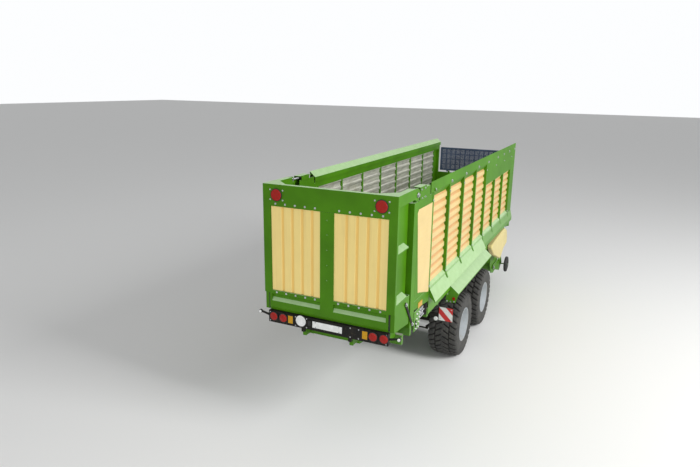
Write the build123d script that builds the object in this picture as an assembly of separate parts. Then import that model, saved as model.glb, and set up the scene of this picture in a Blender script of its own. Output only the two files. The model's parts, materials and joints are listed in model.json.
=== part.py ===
from build123d import *
import math
import os

# Tandem loader wagon, millimetres. Lengths run forward from the tailgate's rear plane while the
# pieces are made, heights run up from the ground, and every piece is shifted along the length
# when it is written so that the wagon's box is centred on the origin.
# Left is +Y. What stands on both sides is made on the left and mirrored.

# Overall
hitch_eye_x = 11200.0
hitch_eye_z = 560.0
hitch_eye_bore = 25.0
hitch_eye_outer = 62.0
hitch_eye_width = 45.0

# Body
outer_y = 1118.0
wall_y = 1040.0
body_top_z = 3985.0
front_x = 9040.0
bay_pitch = 987.0
bay_count = 7
post_width = 60.0
first_post_front_x = 1660.0
panel_bottom_z = 2135.0
panel_top_z = body_top_z - 295.0
ledge_z = body_top_z - 182.0
rail_inner_y = 1010.0
rail_start_x = 1480.0
rail_wall = 6.0
rail_fall = 96.0
rear_post_x = 690.0
rear_post_length = 184.0
front_plate_bottom_z = 1640.0
sheet = 5.0
seat_gap = 0.3

# Corrugated sheets
corrugation_pitch = 155.5
corrugation_depth = 21.0
corrugation_sheet = 4.0

# Skirts and fenders
skirt_top_z = panel_bottom_z - 30.0
skirt_edge_y = 1240.0
skirt_edge_z = 1888.0
skirt_sheet = 6.0
fender_top_z = 1742.0
fender_y = 1290.0
fender_z = 1590.0
fender_plate_z = 1385.0
skirt_front_x = 5500.0
skirt_front_edge_y = outer_y + 52.0
skirt_front_edge_z = 1915.0
skirt_lip_z = 1822.0

# Floor and scraper
floor_z = 1900.0
floor_sheet = 8.0
floor_rear_x = 130.0
floor_kink_x = 6400.0
floor_front_x = 7425.0
floor_front_z = 1625.0
floor_lip_gap = 110.0
bearer_top_z = 1760.0
bearer_height = 160.0
bearer_width = 70.0
bearer_pitch = 620.0
chain_height = 24.0
chain_width = 20.0
chain_inner_y = 255.0
chain_outer_y = 775.0
slat_pitch = 430.0
slat_width = 46.0
slat_height = 34.0
shaft_x = 150.0
shaft_radius = 24.0
sprocket_radius = 52.0

# Frame
beam_y = 410.0
beam_width = 100.0
beam_bottom_z = 1330.0
beam_top_z = 1600.0
beam_rear_x = 250.0
beam_taper_x = 1500.0
beam_front_x = 7250.0
neck_cross_length = 110.0
bogie_top_z = 1330.0

# Wheels
tyre_radius = 667.0
tyre_width = 600.0
tyre_outer_y = 1275.0
rim_radius = 338.0
rim_lip = 14.0
wheel_base = 1790.0
rear_axle_x = 3788.0
axle_z = tyre_radius
axle_half = 52.0
lug_count = 18
lug_depth = 24.0
lug_width = 62.0
lug_lean = 38.0
spindle_radius = 45.0
spindle_tip_y = 1040.0
running_clearance = 0.05
hub_radius = 150.0
drum_radius = 205.0
kingpin_y = 600.0
kingpin_radius = 26.0
tie_arm_back = 260.0
tie_arm_y = 540.0
tie_rod_z = 553.0
tie_pin_radius = 14.0

# Springs
spring_y = 410.0
spring_width = 76.0
leaf_thickness = 22.0
leaf_count = 5
leaf_step = 150.0
spring_end_z = 757.0
spring_rise = 90.0

# Tailgate
gate_depth = 58.0
gate_low_y = 1025.0
gate_step_z = 2227.0
gate_bottom_z = 1937.0
gate_panel_inner_y = 115.0
gate_panel_outer_y = 980.0
gate_panel_bottom_z = 2278.0
gate_panel_top_z = body_top_z - 340.0
gate_top_z = body_top_z + 5.0
gate_rail_z = gate_top_z - 165.0
gate_lamp_z = gate_top_z - 162.0
wing_sheet_y = 1020.0
wing_front_x = 673.0
wing_shelf_x = 513.0
wing_shelf_rise = 58.0
shelf_heights = (gate_top_z - 848.0, gate_step_z + 135.0)
gate_hinge_x = 817.0
gate_hinge_z = gate_top_z - 110.0
gate_pin_radius = 20.0
gate_nose_y = 1096.0
gate_nose_radius = 100.0
gate_ram_x = 750.0
gate_ram_z = gate_top_z - 43.0
gate_ram_start_x = 945.0
gate_ram_foot_x = 1212.0
gate_ram_y = 1034.0
gate_ram_radius = 21.0
gate_rod_radius = 14.0
gate_rod_length = 260.0
gate_ram_pin_radius = 11.0
stub_rail_x = 936.0
stub_rail_end_x = 1440.0
ram_pin_radius = 14.0

# Light bar
bar_bottom_z = 1730.0
bar_top_z = 1925.0
bar_half = 1040.0
bar_rear_x = -20.0
lamp_z = 1840.0
lamp_proud = 26.0

# Drawbar
neck_pivot_x = 9560.0
neck_pivot_z = 1060.0
neck_pin_radius = 40.0
neck_y = 240.0
drawbar_half = 110.0
drawbar_ram_x = 9120.0
drawbar_ram_z = 1590.0
drawbar_lug_x = 10150.0
drawbar_lug_z = 1090.0
drawbar_barrel_radius = 50.0
drawbar_rod_radius = 28.0
jack_x = 10520.0
jack_y = 205.0
jack_outer = 50.0
jack_inner = 38.0
jack_foot_radius = 130.0

# Intake
rotor_x = 7900.0
rotor_z = 1000.0
rotor_tip = 380.0
rotor_drum = 150.0
rotor_bearing_radius = 35.0
channel_radius = 402.0
housing_y = 985.0
rotor_half = housing_y - 55.0
housing_plate = 16.0
lift_x = 7700.0
lift_z = 760.0
lift_pin_radius = 25.0
reel_x = 8530.0
reel_z = 640.0
reel_tip = 270.0
reel_drum = 70.0
reel_half = housing_y - 55.0
reel_shaft_radius = 20.0
band_radius = 195.0
band_count = 17
tine_rows = 5
gauge_x = 8693.0
gauge_z = 601.0
gauge_radius = 220.0
gauge_width = 90.0
gauge_y = 1190.0
cover_outer_y = 1205.0
cover_inner_y = 1100.0
cover_sheet = 6.0
cover_rear_x = 6300.0

# Headboard
headboard_hinge_z = body_top_z - 925.0
headboard_top_z = body_top_z - 240.0
headboard_half = 985.0
headboard_x = 9015.0
headboard_frame = 40.0

rear_tip_x = bar_rear_x - lamp_proud
origin_x = (hitch_eye_x + hitch_eye_outer + rear_tip_x) / 2.0
front_axle_x = rear_axle_x + wheel_base
tyre_centre_y = tyre_outer_y - tyre_width / 2.0
bogie_x = rear_axle_x + wheel_base / 2.0

os.makedirs("parts", exist_ok=True)


def save(name, *shapes):
    """Write one node: its solids, shifted so that the wagon's box is centred on the origin."""
    solids = [solid for shape in shapes for solid in shape.solids()]
    body = solids[0] if len(solids) == 1 else Compound(children=solids)
    export_step(Pos(-origin_x, 0, 0) * body, f"parts/{name}.step")


def block(x0, x1, y0, y1, z0, z1):
    """A box between its limits."""
    centre = Pos((x0 + x1) / 2.0, (y0 + y1) / 2.0, (z0 + z1) / 2.0)
    return centre * Box(abs(x1 - x0), abs(y1 - y0), abs(z1 - z0))


def along_y(points, y0, y1):
    """An outline of (x, z) points, extruded from y0 to y1."""
    face = make_face(Polyline(*[(x, y0, z) for x, z in points], close=True))
    return extrude(face, amount=y1 - y0, dir=(0, 1, 0))


def along_x(points, x0, x1):
    """An outline of (y, z) points, extruded from x0 to x1."""
    face = make_face(Polyline(*[(x0, y, z) for y, z in points], close=True))
    return extrude(face, amount=x1 - x0, dir=(1, 0, 0))


def along_z(points, z0, z1):
    """An outline of (x, y) points, extruded from z0 to z1."""
    face = make_face(Polyline(*[(x, y, z0) for x, y in points], close=True))
    return extrude(face, amount=z1 - z0, dir=(0, 0, 1))


def bar_y(x, z, radius, y0, y1):
    """A round bar along the width."""
    return Pos(x, (y0 + y1) / 2.0, z) * Rot(90, 0, 0) * Cylinder(radius, abs(y1 - y0))


def bar_z(x, y, radius, z0, z1):
    """An upright round bar."""
    return Pos(x, y, (z0 + z1) / 2.0) * Cylinder(radius, abs(z1 - z0))


def bar_x(y, z, radius, x0, x1):
    """A round bar along the length."""
    return Pos((x0 + x1) / 2.0, y, z) * Rot(0, 90, 0) * Cylinder(radius, abs(x1 - x0))


def bar_between(start, end, radius, y):
    """A round bar from one (x, z) point to another, at one place across the width."""
    dx = end[0] - start[0]
    dz = end[1] - start[1]
    lean = math.degrees(math.atan2(dx, dz))
    middle = Pos((start[0] + end[0]) / 2.0, y, (start[1] + end[1]) / 2.0)
    return middle * Rot(0, lean, 0) * Cylinder(radius, math.hypot(dx, dz))


def mirrored(shape):
    """The same piece on the right."""
    return shape.mirror(Plane.XZ)


def both(shape):
    """A piece on the left and its mirror image on the right."""
    return [shape, mirrored(shape)]


def fused(shapes):
    """All the shapes joined to one body."""
    first = shapes[0]
    return first.fuse(*shapes[1:]) if len(shapes) > 1 else first


def cut(shape, *tools):
    """A shape less its tools."""
    return shape.cut(*tools)


def point_towards(start, end, distance):
    """The (x, z) point that lies a distance from start, on the way to end."""
    share = distance / math.hypot(end[0] - start[0], end[1] - start[1])
    return (start[0] + (end[0] - start[0]) * share, start[1] + (end[1] - start[1]) * share)


def post_front(index):
    """The front face of a side post, counted from the first one ahead of the rear post."""
    return first_post_front_x + bay_pitch * index


def corrugated(x0, x1, z0, z1, y_inner, pitch):
    """A sheet with level corrugations, its ridges pointing outward."""
    count = max(1, round((z1 - z0) / pitch))
    step = (z1 - z0) / count
    crest = y_inner + corrugation_depth
    # outer side from the bottom up: (y, share of one corrugation)
    wave = ((y_inner, 0.0), (y_inner, 0.12), (crest, 0.27), (crest, 0.73), (y_inner, 0.88))
    outer = [(y + corrugation_sheet, z0 + (row + share) * step) for row in range(count) for y, share in wave]
    outer.append((y_inner + corrugation_sheet, z1))
    inner = [(y - corrugation_sheet, z) for y, z in outer]
    return along_x(outer + inner[::-1], x0, x1)


# Frame: two long beams, the girders round the intake with the neck, and the bogie's pedestals

def build_chassis():
    """Two long beams that taper towards the rear, their cross members and the rear uprights."""
    parts = []
    side_view = [(beam_rear_x, beam_top_z), (beam_front_x, beam_top_z), (beam_front_x, beam_bottom_z),
                 (beam_taper_x, beam_bottom_z), (beam_rear_x, beam_top_z - 60.0)]
    for side in (-1.0, 1.0):
        inner = side * beam_y - beam_width / 2.0
        parts.append(along_y(side_view, inner, inner + beam_width))
        # Upright that carries the light bar and the scraper's shaft
        parts.append(block(40.0, beam_rear_x + 40.0, side * beam_y - 30.0, side * beam_y + 30.0, beam_top_z - 10.0, 1700.0))
    # cross members: x, bottom, top
    for x, z0, z1 in ((beam_rear_x, 1545.0, 1600.0), (1900.0, 1400.0, 1540.0), (bogie_x, 1360.0, 1560.0),
                      (6300.0, 1400.0, 1540.0)):
        parts.append(block(x, x + 120.0, -beam_y, beam_y, z0, z1))
    return fused(parts)


def build_neck():
    """The cross members and girders round the intake, and the neck that falls to the drawbar's pin."""
    front = beam_front_x + neck_cross_length
    girder_inner = housing_y + housing_plate
    parts = [block(beam_front_x, front, -housing_y, housing_y, beam_bottom_z, 1480.0),
             block(8660.0, 8800.0, -girder_inner - 40.0, girder_inner + 40.0, 1480.0, 1620.0),
             block(9010.0, 9090.0, -neck_y, neck_y, 1400.0, 1480.0)]
    for side in (-1.0, 1.0):
        parts.append(block(beam_front_x, front, side * beam_y - beam_width / 2.0, side * beam_y + beam_width / 2.0,
                           beam_bottom_z, beam_top_z))
        parts.append(block(beam_front_x, 8800.0, side * girder_inner, side * (girder_inner + 40.0), 1450.0, 1620.0))
        parts.append(block(beam_front_x, front, side * (housing_y - 20.0), side * (girder_inner + 10.0), beam_bottom_z,
                           1600.0))
        # Stays of the drive cover
        for x in (front + 140.0, front + 690.0):
            parts.append(block(x, x + 40.0, side * (girder_inner + 35.0), side * (cover_outer_y - cover_sheet - seat_gap),
                               1500.0, 1560.0))
        outline = [(8780.0, 1620.0), (8950.0, 1620.0), (neck_pivot_x - 60.0, 1220.0), (neck_pivot_x + 85.0, 1140.0),
                   (neck_pivot_x + 85.0, 985.0), (neck_pivot_x - 90.0, 960.0), (8780.0, 1480.0)]
        beam = along_y(outline, side * neck_y - 45.0, side * neck_y + 45.0)
        lug = along_y([(drawbar_ram_x - 90.0, 1430.0), (drawbar_ram_x - 36.0, drawbar_ram_z + 36.0),
                       (drawbar_ram_x + 30.0, drawbar_ram_z + 36.0), (drawbar_ram_x + 30.0, drawbar_ram_z - 110.0),
                       (drawbar_ram_x + 90.0, 1400.0)],
                      side * neck_y - 12.0, side * neck_y + 12.0)
        pin = bar_y(drawbar_ram_x, drawbar_ram_z, ram_pin_radius * 1.4, side * neck_y - 44.0, side * neck_y + 44.0)
        parts += [beam, lug, pin]
    pivot_bore = bar_y(neck_pivot_x, neck_pivot_z, neck_pin_radius + running_clearance, -neck_y - 60.0, neck_y + 60.0)
    return cut(fused(parts), pivot_bore)


def build_bogie_brackets():
    """The bogie's pedestals under the beams: a pad, two plates and the pin each, joined by a cross tube."""
    parts = [block(bogie_x - 55.0, bogie_x + 55.0, -spring_y - 45.0, spring_y + 45.0, 1130.0, 1240.0)]
    for side in (-1.0, 1.0):
        parts.append(block(bogie_x - 270.0, bogie_x + 270.0, side * spring_y - 52.0, side * spring_y + 52.0,
                           bogie_top_z - 12.0, bogie_top_z))
        for offset in (-1.0, 1.0):
            plate_y = side * spring_y + offset * (spring_width / 2.0 + 10.0)
            outline = [(bogie_x - 260.0, bogie_top_z - 4.0), (bogie_x + 260.0, bogie_top_z - 4.0),
                       (bogie_x + 110.0, 880.0), (bogie_x - 110.0, 880.0)]
            parts.append(along_y(outline, plate_y - 7.0, plate_y + 7.0))
        parts.append(bar_y(bogie_x, 960.0, 36.0, side * spring_y - spring_width / 2.0 - 30.0,
                           side * spring_y + spring_width / 2.0 + 30.0))
    return fused(parts)


# Floor: sheet, side boards, runners and bearers

def floor_height(x):
    """The top of the floor sheet at a place along the length."""
    if x <= floor_kink_x:
        return floor_z
    share = (x - floor_kink_x) / (floor_front_x - floor_kink_x)
    return floor_z + (floor_front_z - floor_z) * share


def build_floor():
    lip_x = floor_front_x - floor_lip_gap
    top = [(rear_post_x, floor_z), (floor_kink_x, floor_z), (lip_x, floor_height(lip_x))]
    low = [(x, z - floor_sheet) for x, z in reversed(top)]
    half = wall_y - seat_gap - sheet
    parts = [along_y(top + low, -half, half)]
    rear_half = wing_sheet_y - 36.0
    parts.append(block(floor_rear_x + 90.0, rear_post_x + 1.0, -rear_half, rear_half, floor_z - floor_sheet, floor_z))
    for y in (-900.0, 0.0, 900.0):
        rise = [(x, z - floor_sheet) for x, z in top]
        fall = [(lip_x, beam_top_z), (floor_rear_x + 250.0, beam_top_z), (floor_rear_x + 250.0, floor_z - floor_sheet)]
        parts.append(along_y(rise + fall, y - 18.0, y + 18.0))
    post_x = rear_post_x + (rear_post_length - bearer_width) / 2.0
    parts.append(block(post_x, post_x + bearer_width, -outer_y + 14.0, outer_y - 14.0, bearer_top_z - bearer_height,
                       bearer_top_z))
    x = beam_rear_x + 130.0
    while x < floor_kink_x:
        parts.append(block(x, x + bearer_width, -outer_y + 14.0, outer_y - 14.0, bearer_top_z - bearer_height,
                           bearer_top_z))
        x += bearer_pitch
    return fused(parts)


def floor_fall(x):
    """How far the floor has fallen at a place, as a negative height."""
    return floor_height(x) - floor_z


# Scraper: four chains in two pairs, joined by slats, and the shaft that drives them

def chain_band(y, inner_radius, thickness, width):
    """One chain's closed loop: over the floor, round the shaft, back below and round the front roller."""
    top_z = floor_z + seat_gap
    low_z = top_z - 2.0 * inner_radius
    centre = top_z - inner_radius
    turn_x = floor_front_x - 60.0
    lip_x = floor_front_x - floor_lip_gap
    kink = floor_kink_x
    # The loop's inner and outer outlines, (x, z), each from the shaft over the floor and back below it
    inner = [(shaft_x, top_z), (kink, top_z), (lip_x, top_z + floor_fall(lip_x)),
             (turn_x, top_z + floor_fall(turn_x) - 30.0), (turn_x, low_z + floor_fall(turn_x) + 30.0),
             (lip_x, low_z + floor_fall(lip_x)), (kink, low_z), (shaft_x, low_z)]
    front = turn_x + thickness
    outer = [(shaft_x, top_z + thickness), (kink, top_z + thickness), (lip_x, top_z + floor_fall(lip_x) + thickness),
             (front, top_z + floor_fall(front) - 20.0), (front, low_z + floor_fall(front) + 20.0),
             (lip_x, low_z + floor_fall(lip_x) - thickness), (kink, low_z - thickness), (shaft_x, low_z - thickness)]
    ring_out = bar_y(shaft_x, centre, inner_radius + thickness, y - width / 2.0, y + width / 2.0)
    ring_in = bar_y(shaft_x, centre, inner_radius, y - width, y + width)
    run = cut(along_y(outer, y - width / 2.0, y + width / 2.0), along_y(inner, y - width, y + width))
    half = cut(ring_out, ring_in, block(shaft_x, shaft_x + 200.0, y - width, y + width, centre - 200.0, centre + 200.0))
    return run.fuse(half)


def build_chains():
    """The two halves of the scraper, each a pair of chains with its slats."""
    halves = []
    for side in (-1.0, 1.0):
        near = side * chain_inner_y
        far = side * chain_outer_y
        parts = [chain_band(near, sprocket_radius, chain_height, chain_width),
                 chain_band(far, sprocket_radius, chain_height, chain_width)]
        x = shaft_x + 260.0
        low_z = floor_z + seat_gap - 2.0 * sprocket_radius
        while x < floor_front_x - 200.0:
            z = floor_height(x) + seat_gap + 1.0
            parts.append(block(x, x + slat_width, near, far, z, z + slat_height + 2.0))
            shift = floor_fall(x + slat_width)
            parts.append(block(x, x + slat_width, near, far, low_z + shift - slat_height - 2.0, low_z + shift - 1.0))
            x += slat_pitch
        halves.append(fused(parts))
    return halves


def build_shaft():
    """The scraper's cross shaft with its sprockets and bearing plates."""
    centre = floor_z + seat_gap - sprocket_radius
    parts = [bar_y(shaft_x, centre, shaft_radius, -wing_sheet_y + 14.0, wing_sheet_y - 14.0)]
    for side in (-1.0, 1.0):
        for y in (chain_inner_y, chain_outer_y):
            parts.append(bar_y(shaft_x, centre, sprocket_radius - seat_gap, side * y - 9.0, side * y + 9.0))
        parts.append(block(shaft_x - 55.0, shaft_x + 60.0, side * (beam_y - 20.0), side * (beam_y + 20.0),
                           1700.0 + seat_gap, centre + 40.0))
    # Gearbox at the shaft's right end
    parts.append(block(shaft_x - 50.0, shaft_x + 210.0, -wing_sheet_y + 12.0, -wing_sheet_y + 90.0,
                       centre - 110.0, centre + 40.0))
    return fused(parts)


# Side walls: posts, header, sill, rear post with its hinge bracket, front plate and hollow rail

def build_side_wall():
    parts = []
    for index in range(bay_count + 1):
        x1 = post_front(index)
        outline = [(wall_y, front_plate_bottom_z + 420.0), (outer_y, panel_bottom_z - 60.0), (outer_y, ledge_z + 4.0),
                   (wall_y, ledge_z + 4.0)]
        parts.append(along_x(outline, x1 - post_width, x1))
    # Header under the rail, and its sloping ledge
    header = [(wall_y, panel_top_z), (wall_y + 8.0, panel_top_z), (outer_y, ledge_z), (outer_y, ledge_z + 6.0),
              (wall_y, ledge_z + 6.0)]
    parts.append(along_x(header, rail_start_x, front_x))
    # Hollow rail, open at its rear end
    outer = [(rail_inner_y, ledge_z), (outer_y, ledge_z), (outer_y, body_top_z), (rail_inner_y, body_top_z - rail_fall)]
    inner = [(rail_inner_y + rail_wall, ledge_z + rail_wall), (outer_y - rail_wall, ledge_z + rail_wall),
             (outer_y - rail_wall, body_top_z - rail_wall - 2.0),
             (rail_inner_y + rail_wall, body_top_z - rail_fall - rail_wall)]
    rail = cut(along_x(outer, rail_start_x, front_x), along_x(inner, rail_start_x - 10.0, front_x - 8.0))
    parts.append(rail)
    # Sill under the panels, side board down to the floor
    parts.append(along_x([(wall_y, panel_bottom_z - 75.0), (outer_y, panel_bottom_z - 45.0), (outer_y, panel_bottom_z),
                          (wall_y, panel_bottom_z)], rear_post_x, front_x))
    board = [(rear_post_x, floor_z + 6.0), (floor_kink_x, floor_z + 6.0), (floor_front_x, floor_front_z + 6.0),
             (front_x, front_plate_bottom_z), (front_x, panel_bottom_z), (rear_post_x, panel_bottom_z)]
    parts.append(along_y(board, wall_y - sheet, wall_y))
    # Rear post, plate behind the rear panel, short low rail at the hinge
    rear_end = rear_post_x + rear_post_length
    post_top = gate_hinge_z - 110.0
    tie_top = gate_hinge_z - 102.0
    parts.append(block(rear_post_x, rear_end, wall_y, outer_y, bearer_top_z, post_top))
    parts.append(block(rear_post_x, rear_end, rail_inner_y, wall_y + 1.0, floor_z + 6.0, post_top))
    parts.append(block(rear_end - 5.0, post_front(0), outer_y - 14.0, outer_y - 6.0, panel_bottom_z - 40.0, tie_top))
    parts.append(block(rear_end - 5.0, rail_start_x + 5.0, rail_inner_y, outer_y, tie_top - 138.0, tie_top))
    parts.append(block(rear_end - 5.0, post_front(0) - post_width, wall_y - sheet, wall_y + 1.0, panel_bottom_z - 5.0,
                       tie_top - 80.0))
    # Short rail ahead of the hinge, open at its rear end; the tailgate's ram lies in its upper part
    roof = gate_top_z - 12.0
    roof_end = gate_ram_foot_x + 28.0
    # (start, end, inner side, outer side, bottom, top)
    for x0, x1, y0, y1, z0, z1 in ((stub_rail_x, stub_rail_end_x, rail_inner_y, outer_y, tie_top - 18.0, tie_top - 8.0),
                                   (stub_rail_x, stub_rail_end_x, outer_y - 8.0, outer_y, tie_top - 18.0, roof - 32.0),
                                   (stub_rail_x, roof_end, outer_y - 8.0, outer_y, roof - 40.0, roof),
                                   (stub_rail_x, roof_end, rail_inner_y - 4.0, outer_y, roof - 8.0, roof),
                                   (roof_end - 4.0, stub_rail_end_x, 1062.0, outer_y, roof - 40.0, roof - 32.0),
                                   (stub_rail_x + 60.0, roof_end, rail_inner_y - 7.0, rail_inner_y, roof - 86.0, roof),
                                   (stub_rail_x, stub_rail_end_x, rail_inner_y, rail_inner_y + 8.0, tie_top - 18.0,
                                    roof - 73.0)):
        parts.append(block(x0, x1, y0, y1, z0, z1))
    parts.append(bar_y(gate_ram_foot_x, gate_ram_z, gate_ram_pin_radius - 2.0, gate_ram_y - 18.0, outer_y - 6.0))
    # Hinge bracket with a round head
    parts.append(block(gate_hinge_x - 46.0, gate_hinge_x + 46.0, 1058.0, 1090.0, post_top - 20.0, gate_hinge_z))
    parts.append(bar_y(gate_hinge_x, gate_hinge_z, 46.0, 1058.0, 1090.0))
    # Green board across the last bays, flush with the posts
    parts.append(block(post_front(4) - post_width, post_front(bay_count) - 4.0, outer_y - 5.0, outer_y,
                       panel_top_z - 372.0, ledge_z + 4.0))
    # Front plate and its flange
    parts.append(block(post_front(bay_count) - 5.0, front_x, outer_y - 8.0, outer_y, front_plate_bottom_z + 60.0,
                       ledge_z + 4.0))
    parts.append(block(front_x - 60.0, front_x, wall_y - sheet, outer_y, front_plate_bottom_z, ledge_z + 4.0))
    wall = fused(parts)
    return cut(wall, bar_y(gate_hinge_x, gate_hinge_z, gate_pin_radius + running_clearance, 1000.0, 1130.0))


def build_side_panels():
    """Seven corrugated sheets and the plain rear panel of one side."""
    panels = []
    for index in range(bay_count):
        x0 = post_front(index) + seat_gap
        x1 = post_front(index + 1) - post_width - seat_gap
        panels.append(corrugated(x0, x1, panel_bottom_z + seat_gap, panel_top_z - seat_gap,
                                 wall_y + corrugation_sheet / 2.0 + 2.0, corrugation_pitch))
    corner = 70.0
    x0 = rear_post_x + rear_post_length + 12.0
    x1 = post_front(0) - post_width - 12.0
    plain = block(x0, x1, outer_y - 6.0, outer_y - 1.0, panel_bottom_z + 95.0, panel_top_z - 57.0)
    plain = chamfer(plain.edges().filter_by(Axis.Y).group_by(Axis.X)[0].group_by(Axis.Z)[-1], corner)
    panels.append(plain)
    return panels


# Skirts: a sloping sheet below the panels that widens to the wheels' fender

def skirt_slope(z):
    """How far out the skirt's upper plate is at one height."""
    share = (skirt_top_z - z) / (skirt_top_z - skirt_edge_z)
    return outer_y + 7.0 + (skirt_edge_y - outer_y - 7.0) * share


def build_skirt():
    """A sloping plate below the panels, and the wheels' fender that juts out from under it."""
    rear = first_post_front_x + 4.0
    front = front_x - 4.0
    fender_rear = rear_axle_x - 758.0
    fender_front = front_axle_x + 402.0
    web = outer_y - 12.0
    # Upper plate with its folded edge, seen from behind: (y, z)
    plate = [(outer_y + 7.0, skirt_top_z), (skirt_edge_y, skirt_edge_z), (skirt_edge_y - 26.0, skirt_edge_z - 8.0),
             (skirt_edge_y - 24.0, skirt_edge_z - 13.0), (skirt_edge_y + 1.0, skirt_edge_z - 7.0),
             (skirt_edge_y + 6.0, skirt_edge_z), (outer_y + 13.0, skirt_top_z)]
    parts = [along_x([(y - skirt_sheet, z) for y, z in plate], rear, skirt_front_x)]
    # Steeper plate above the drive's cover, with an upright lip
    lip_y = skirt_front_edge_y
    steep = [(outer_y + 7.0, skirt_top_z), (lip_y, skirt_front_edge_z), (lip_y, skirt_lip_z),
             (lip_y + skirt_sheet, skirt_lip_z), (lip_y + skirt_sheet, skirt_front_edge_z + 1.0),
             (outer_y + 13.0, skirt_top_z)]
    parts.append(along_x([(y - skirt_sheet, z) for y, z in steep], skirt_front_x - skirt_sheet, front))
    # End plates of the two plates
    end = [(outer_y + 0.5, skirt_top_z - 14.0), (outer_y + 4.0, skirt_top_z), (skirt_edge_y - 2.0, skirt_edge_z),
           (skirt_edge_y - 6.0, skirt_edge_z - 8.0), (outer_y + 0.5, skirt_edge_z + 74.0)]
    parts += [along_x(end, rear, rear + skirt_sheet), along_x(end, skirt_front_x - skirt_sheet, skirt_front_x)]
    end = [(outer_y + 0.5, skirt_top_z - 14.0), (outer_y + 4.0, skirt_top_z), (lip_y - 1.0, skirt_front_edge_z),
           (lip_y - 1.0, skirt_lip_z + 2.0), (outer_y + 0.5, skirt_edge_z + 54.0)]
    parts.append(along_x(end, front - skirt_sheet, front))
    # Web behind the plate, and the shelf that carries it: (start, end, lower edge)
    for x0, x1, z0 in ((rear, cover_rear_x - 20.0, 1640.0), (cover_rear_x - 20.0, post_front(bay_count) - 10.0, 1806.0)):
        parts.append(block(x0, x1, web, web + skirt_sheet, z0, skirt_top_z - 55.0))
    shelf = skirt_slope(skirt_top_z - 55.0) - skirt_sheet / 2.0
    parts.append(block(rear, skirt_front_x, web, shelf, skirt_top_z - 63.0, skirt_top_z - 55.0))
    parts.append(block(skirt_front_x - 10.0, post_front(bay_count) - 10.0, web, outer_y + 18.0, skirt_top_z - 63.0,
                       skirt_top_z - 55.0))
    # Fender from the web outward, with a lip at its edge
    fender = [(web + 2.0, fender_top_z), (fender_y, fender_z), (fender_y, fender_z - 22.0), (fender_y - 6.0, fender_z - 22.0),
              (fender_y - 6.0, fender_z - 3.0), (web + 2.0, fender_top_z - 8.0)]
    parts.append(along_x(fender, fender_rear, fender_front))
    # End plates of the fender, which reach down beside the tyres
    side = [(web + 2.0, fender_top_z - 2.0), (fender_y - 1.0, fender_z), (fender_y - 1.0, fender_z - 20.0),
            (fender_y - 54.0, fender_plate_z + 8.0), (outer_y - 74.0, fender_plate_z), (outer_y - 74.0, 1590.0),
            (web + 2.0, 1590.0)]
    parts += [along_x(side, fender_rear, fender_rear + 8.0), along_x(side, fender_front - 8.0, fender_front)]
    return fused(parts)


# Front wall, with a plate that rises from the rotor's top

def build_front_wall():
    parts = [block(front_x - 40.0, front_x - 34.0, -wall_y + sheet + seat_gap, wall_y - sheet - seat_gap, 1700.0,
                   headboard_hinge_z - 30.0)]
    for z in (1760.0, 2200.0, 2640.0, headboard_hinge_z - 70.0):
        parts.append(block(front_x - 35.0, front_x + 5.0, -wall_y + sheet + seat_gap, wall_y - sheet - seat_gap, z,
                           z + 40.0))
    for y in (-700.0, -350.0, 0.0, 350.0, 700.0):
        parts.append(block(front_x - 35.0, front_x, y - 20.0, y + 20.0, 1760.0, headboard_hinge_z - 40.0))
    roof = [(rotor_x + 20.0, 1425.0), (8640.0, 1622.0), (8850.0, 1640.0), (front_x - 34.0, 1700.0),
            (front_x - 34.0, 1712.0), (8850.0, 1652.0), (8640.0, 1634.0), (rotor_x + 20.0, 1437.0)]
    parts.append(along_y(roof, -housing_y + seat_gap, housing_y - seat_gap))
    for side in (-1.0, 1.0):
        parts.append(block(front_x - 40.0, front_x + 5.0, side * (wall_y - sheet - seat_gap),
                           side * (wall_y - sheet - 36.0), 1700.0, headboard_hinge_z - 40.0))
    for y in (-760.0, 0.0, 760.0):
        parts.append(block(headboard_x - 16.0, headboard_x + 16.0, y - 60.0, y - 20.0, headboard_hinge_z - 40.0,
                           headboard_hinge_z + 16.0))
    wall = fused(parts)
    return cut(wall, bar_y(headboard_x, headboard_hinge_z, 10.0 + running_clearance, -900.0, 900.0))


def build_headboard():
    """The folding headboard: a tube frame round a slotted sheet, on three hinge pins."""
    z0 = headboard_hinge_z + 24.0
    frame = block(headboard_x - 14.0, headboard_x + 14.0, -headboard_half, headboard_half, z0, headboard_top_z)
    frame = cut(frame, block(headboard_x - 20.0, headboard_x + 20.0, -headboard_half + headboard_frame,
                             headboard_half - headboard_frame, z0 + headboard_frame,
                             headboard_top_z - headboard_frame))
    mesh = block(headboard_x - 3.0, headboard_x + 3.0, -headboard_half + 20.0, headboard_half - 20.0, z0 + 20.0,
                 headboard_top_z - 20.0)
    columns = 14
    rows = 4
    step_y = 2.0 * (headboard_half - headboard_frame) / columns
    step_z = (headboard_top_z - z0 - 2.0 * headboard_frame) / rows
    slots = []
    for column in range(columns):
        for row in range(rows):
            y = -headboard_half + headboard_frame + step_y * (column + 0.5)
            z = z0 + headboard_frame + step_z * (row + 0.5)
            slots.append(block(headboard_x - 10.0, headboard_x + 10.0, y - step_y * 0.38, y + step_y * 0.38,
                               z - step_z * 0.4, z + step_z * 0.4))
    parts = [frame, cut(mesh, *slots)]
    for y in (-760.0, 0.0, 760.0):
        knuckle = block(headboard_x - 12.0, headboard_x + 12.0, y - 10.0, y + 30.0, headboard_hinge_z - 12.0, z0 + 5.0)
        pin = bar_y(headboard_x, headboard_hinge_z, 10.0, y - 70.0, y + 25.0)
        parts += [knuckle, pin]
    return fused(parts)


# Tailgate

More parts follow.
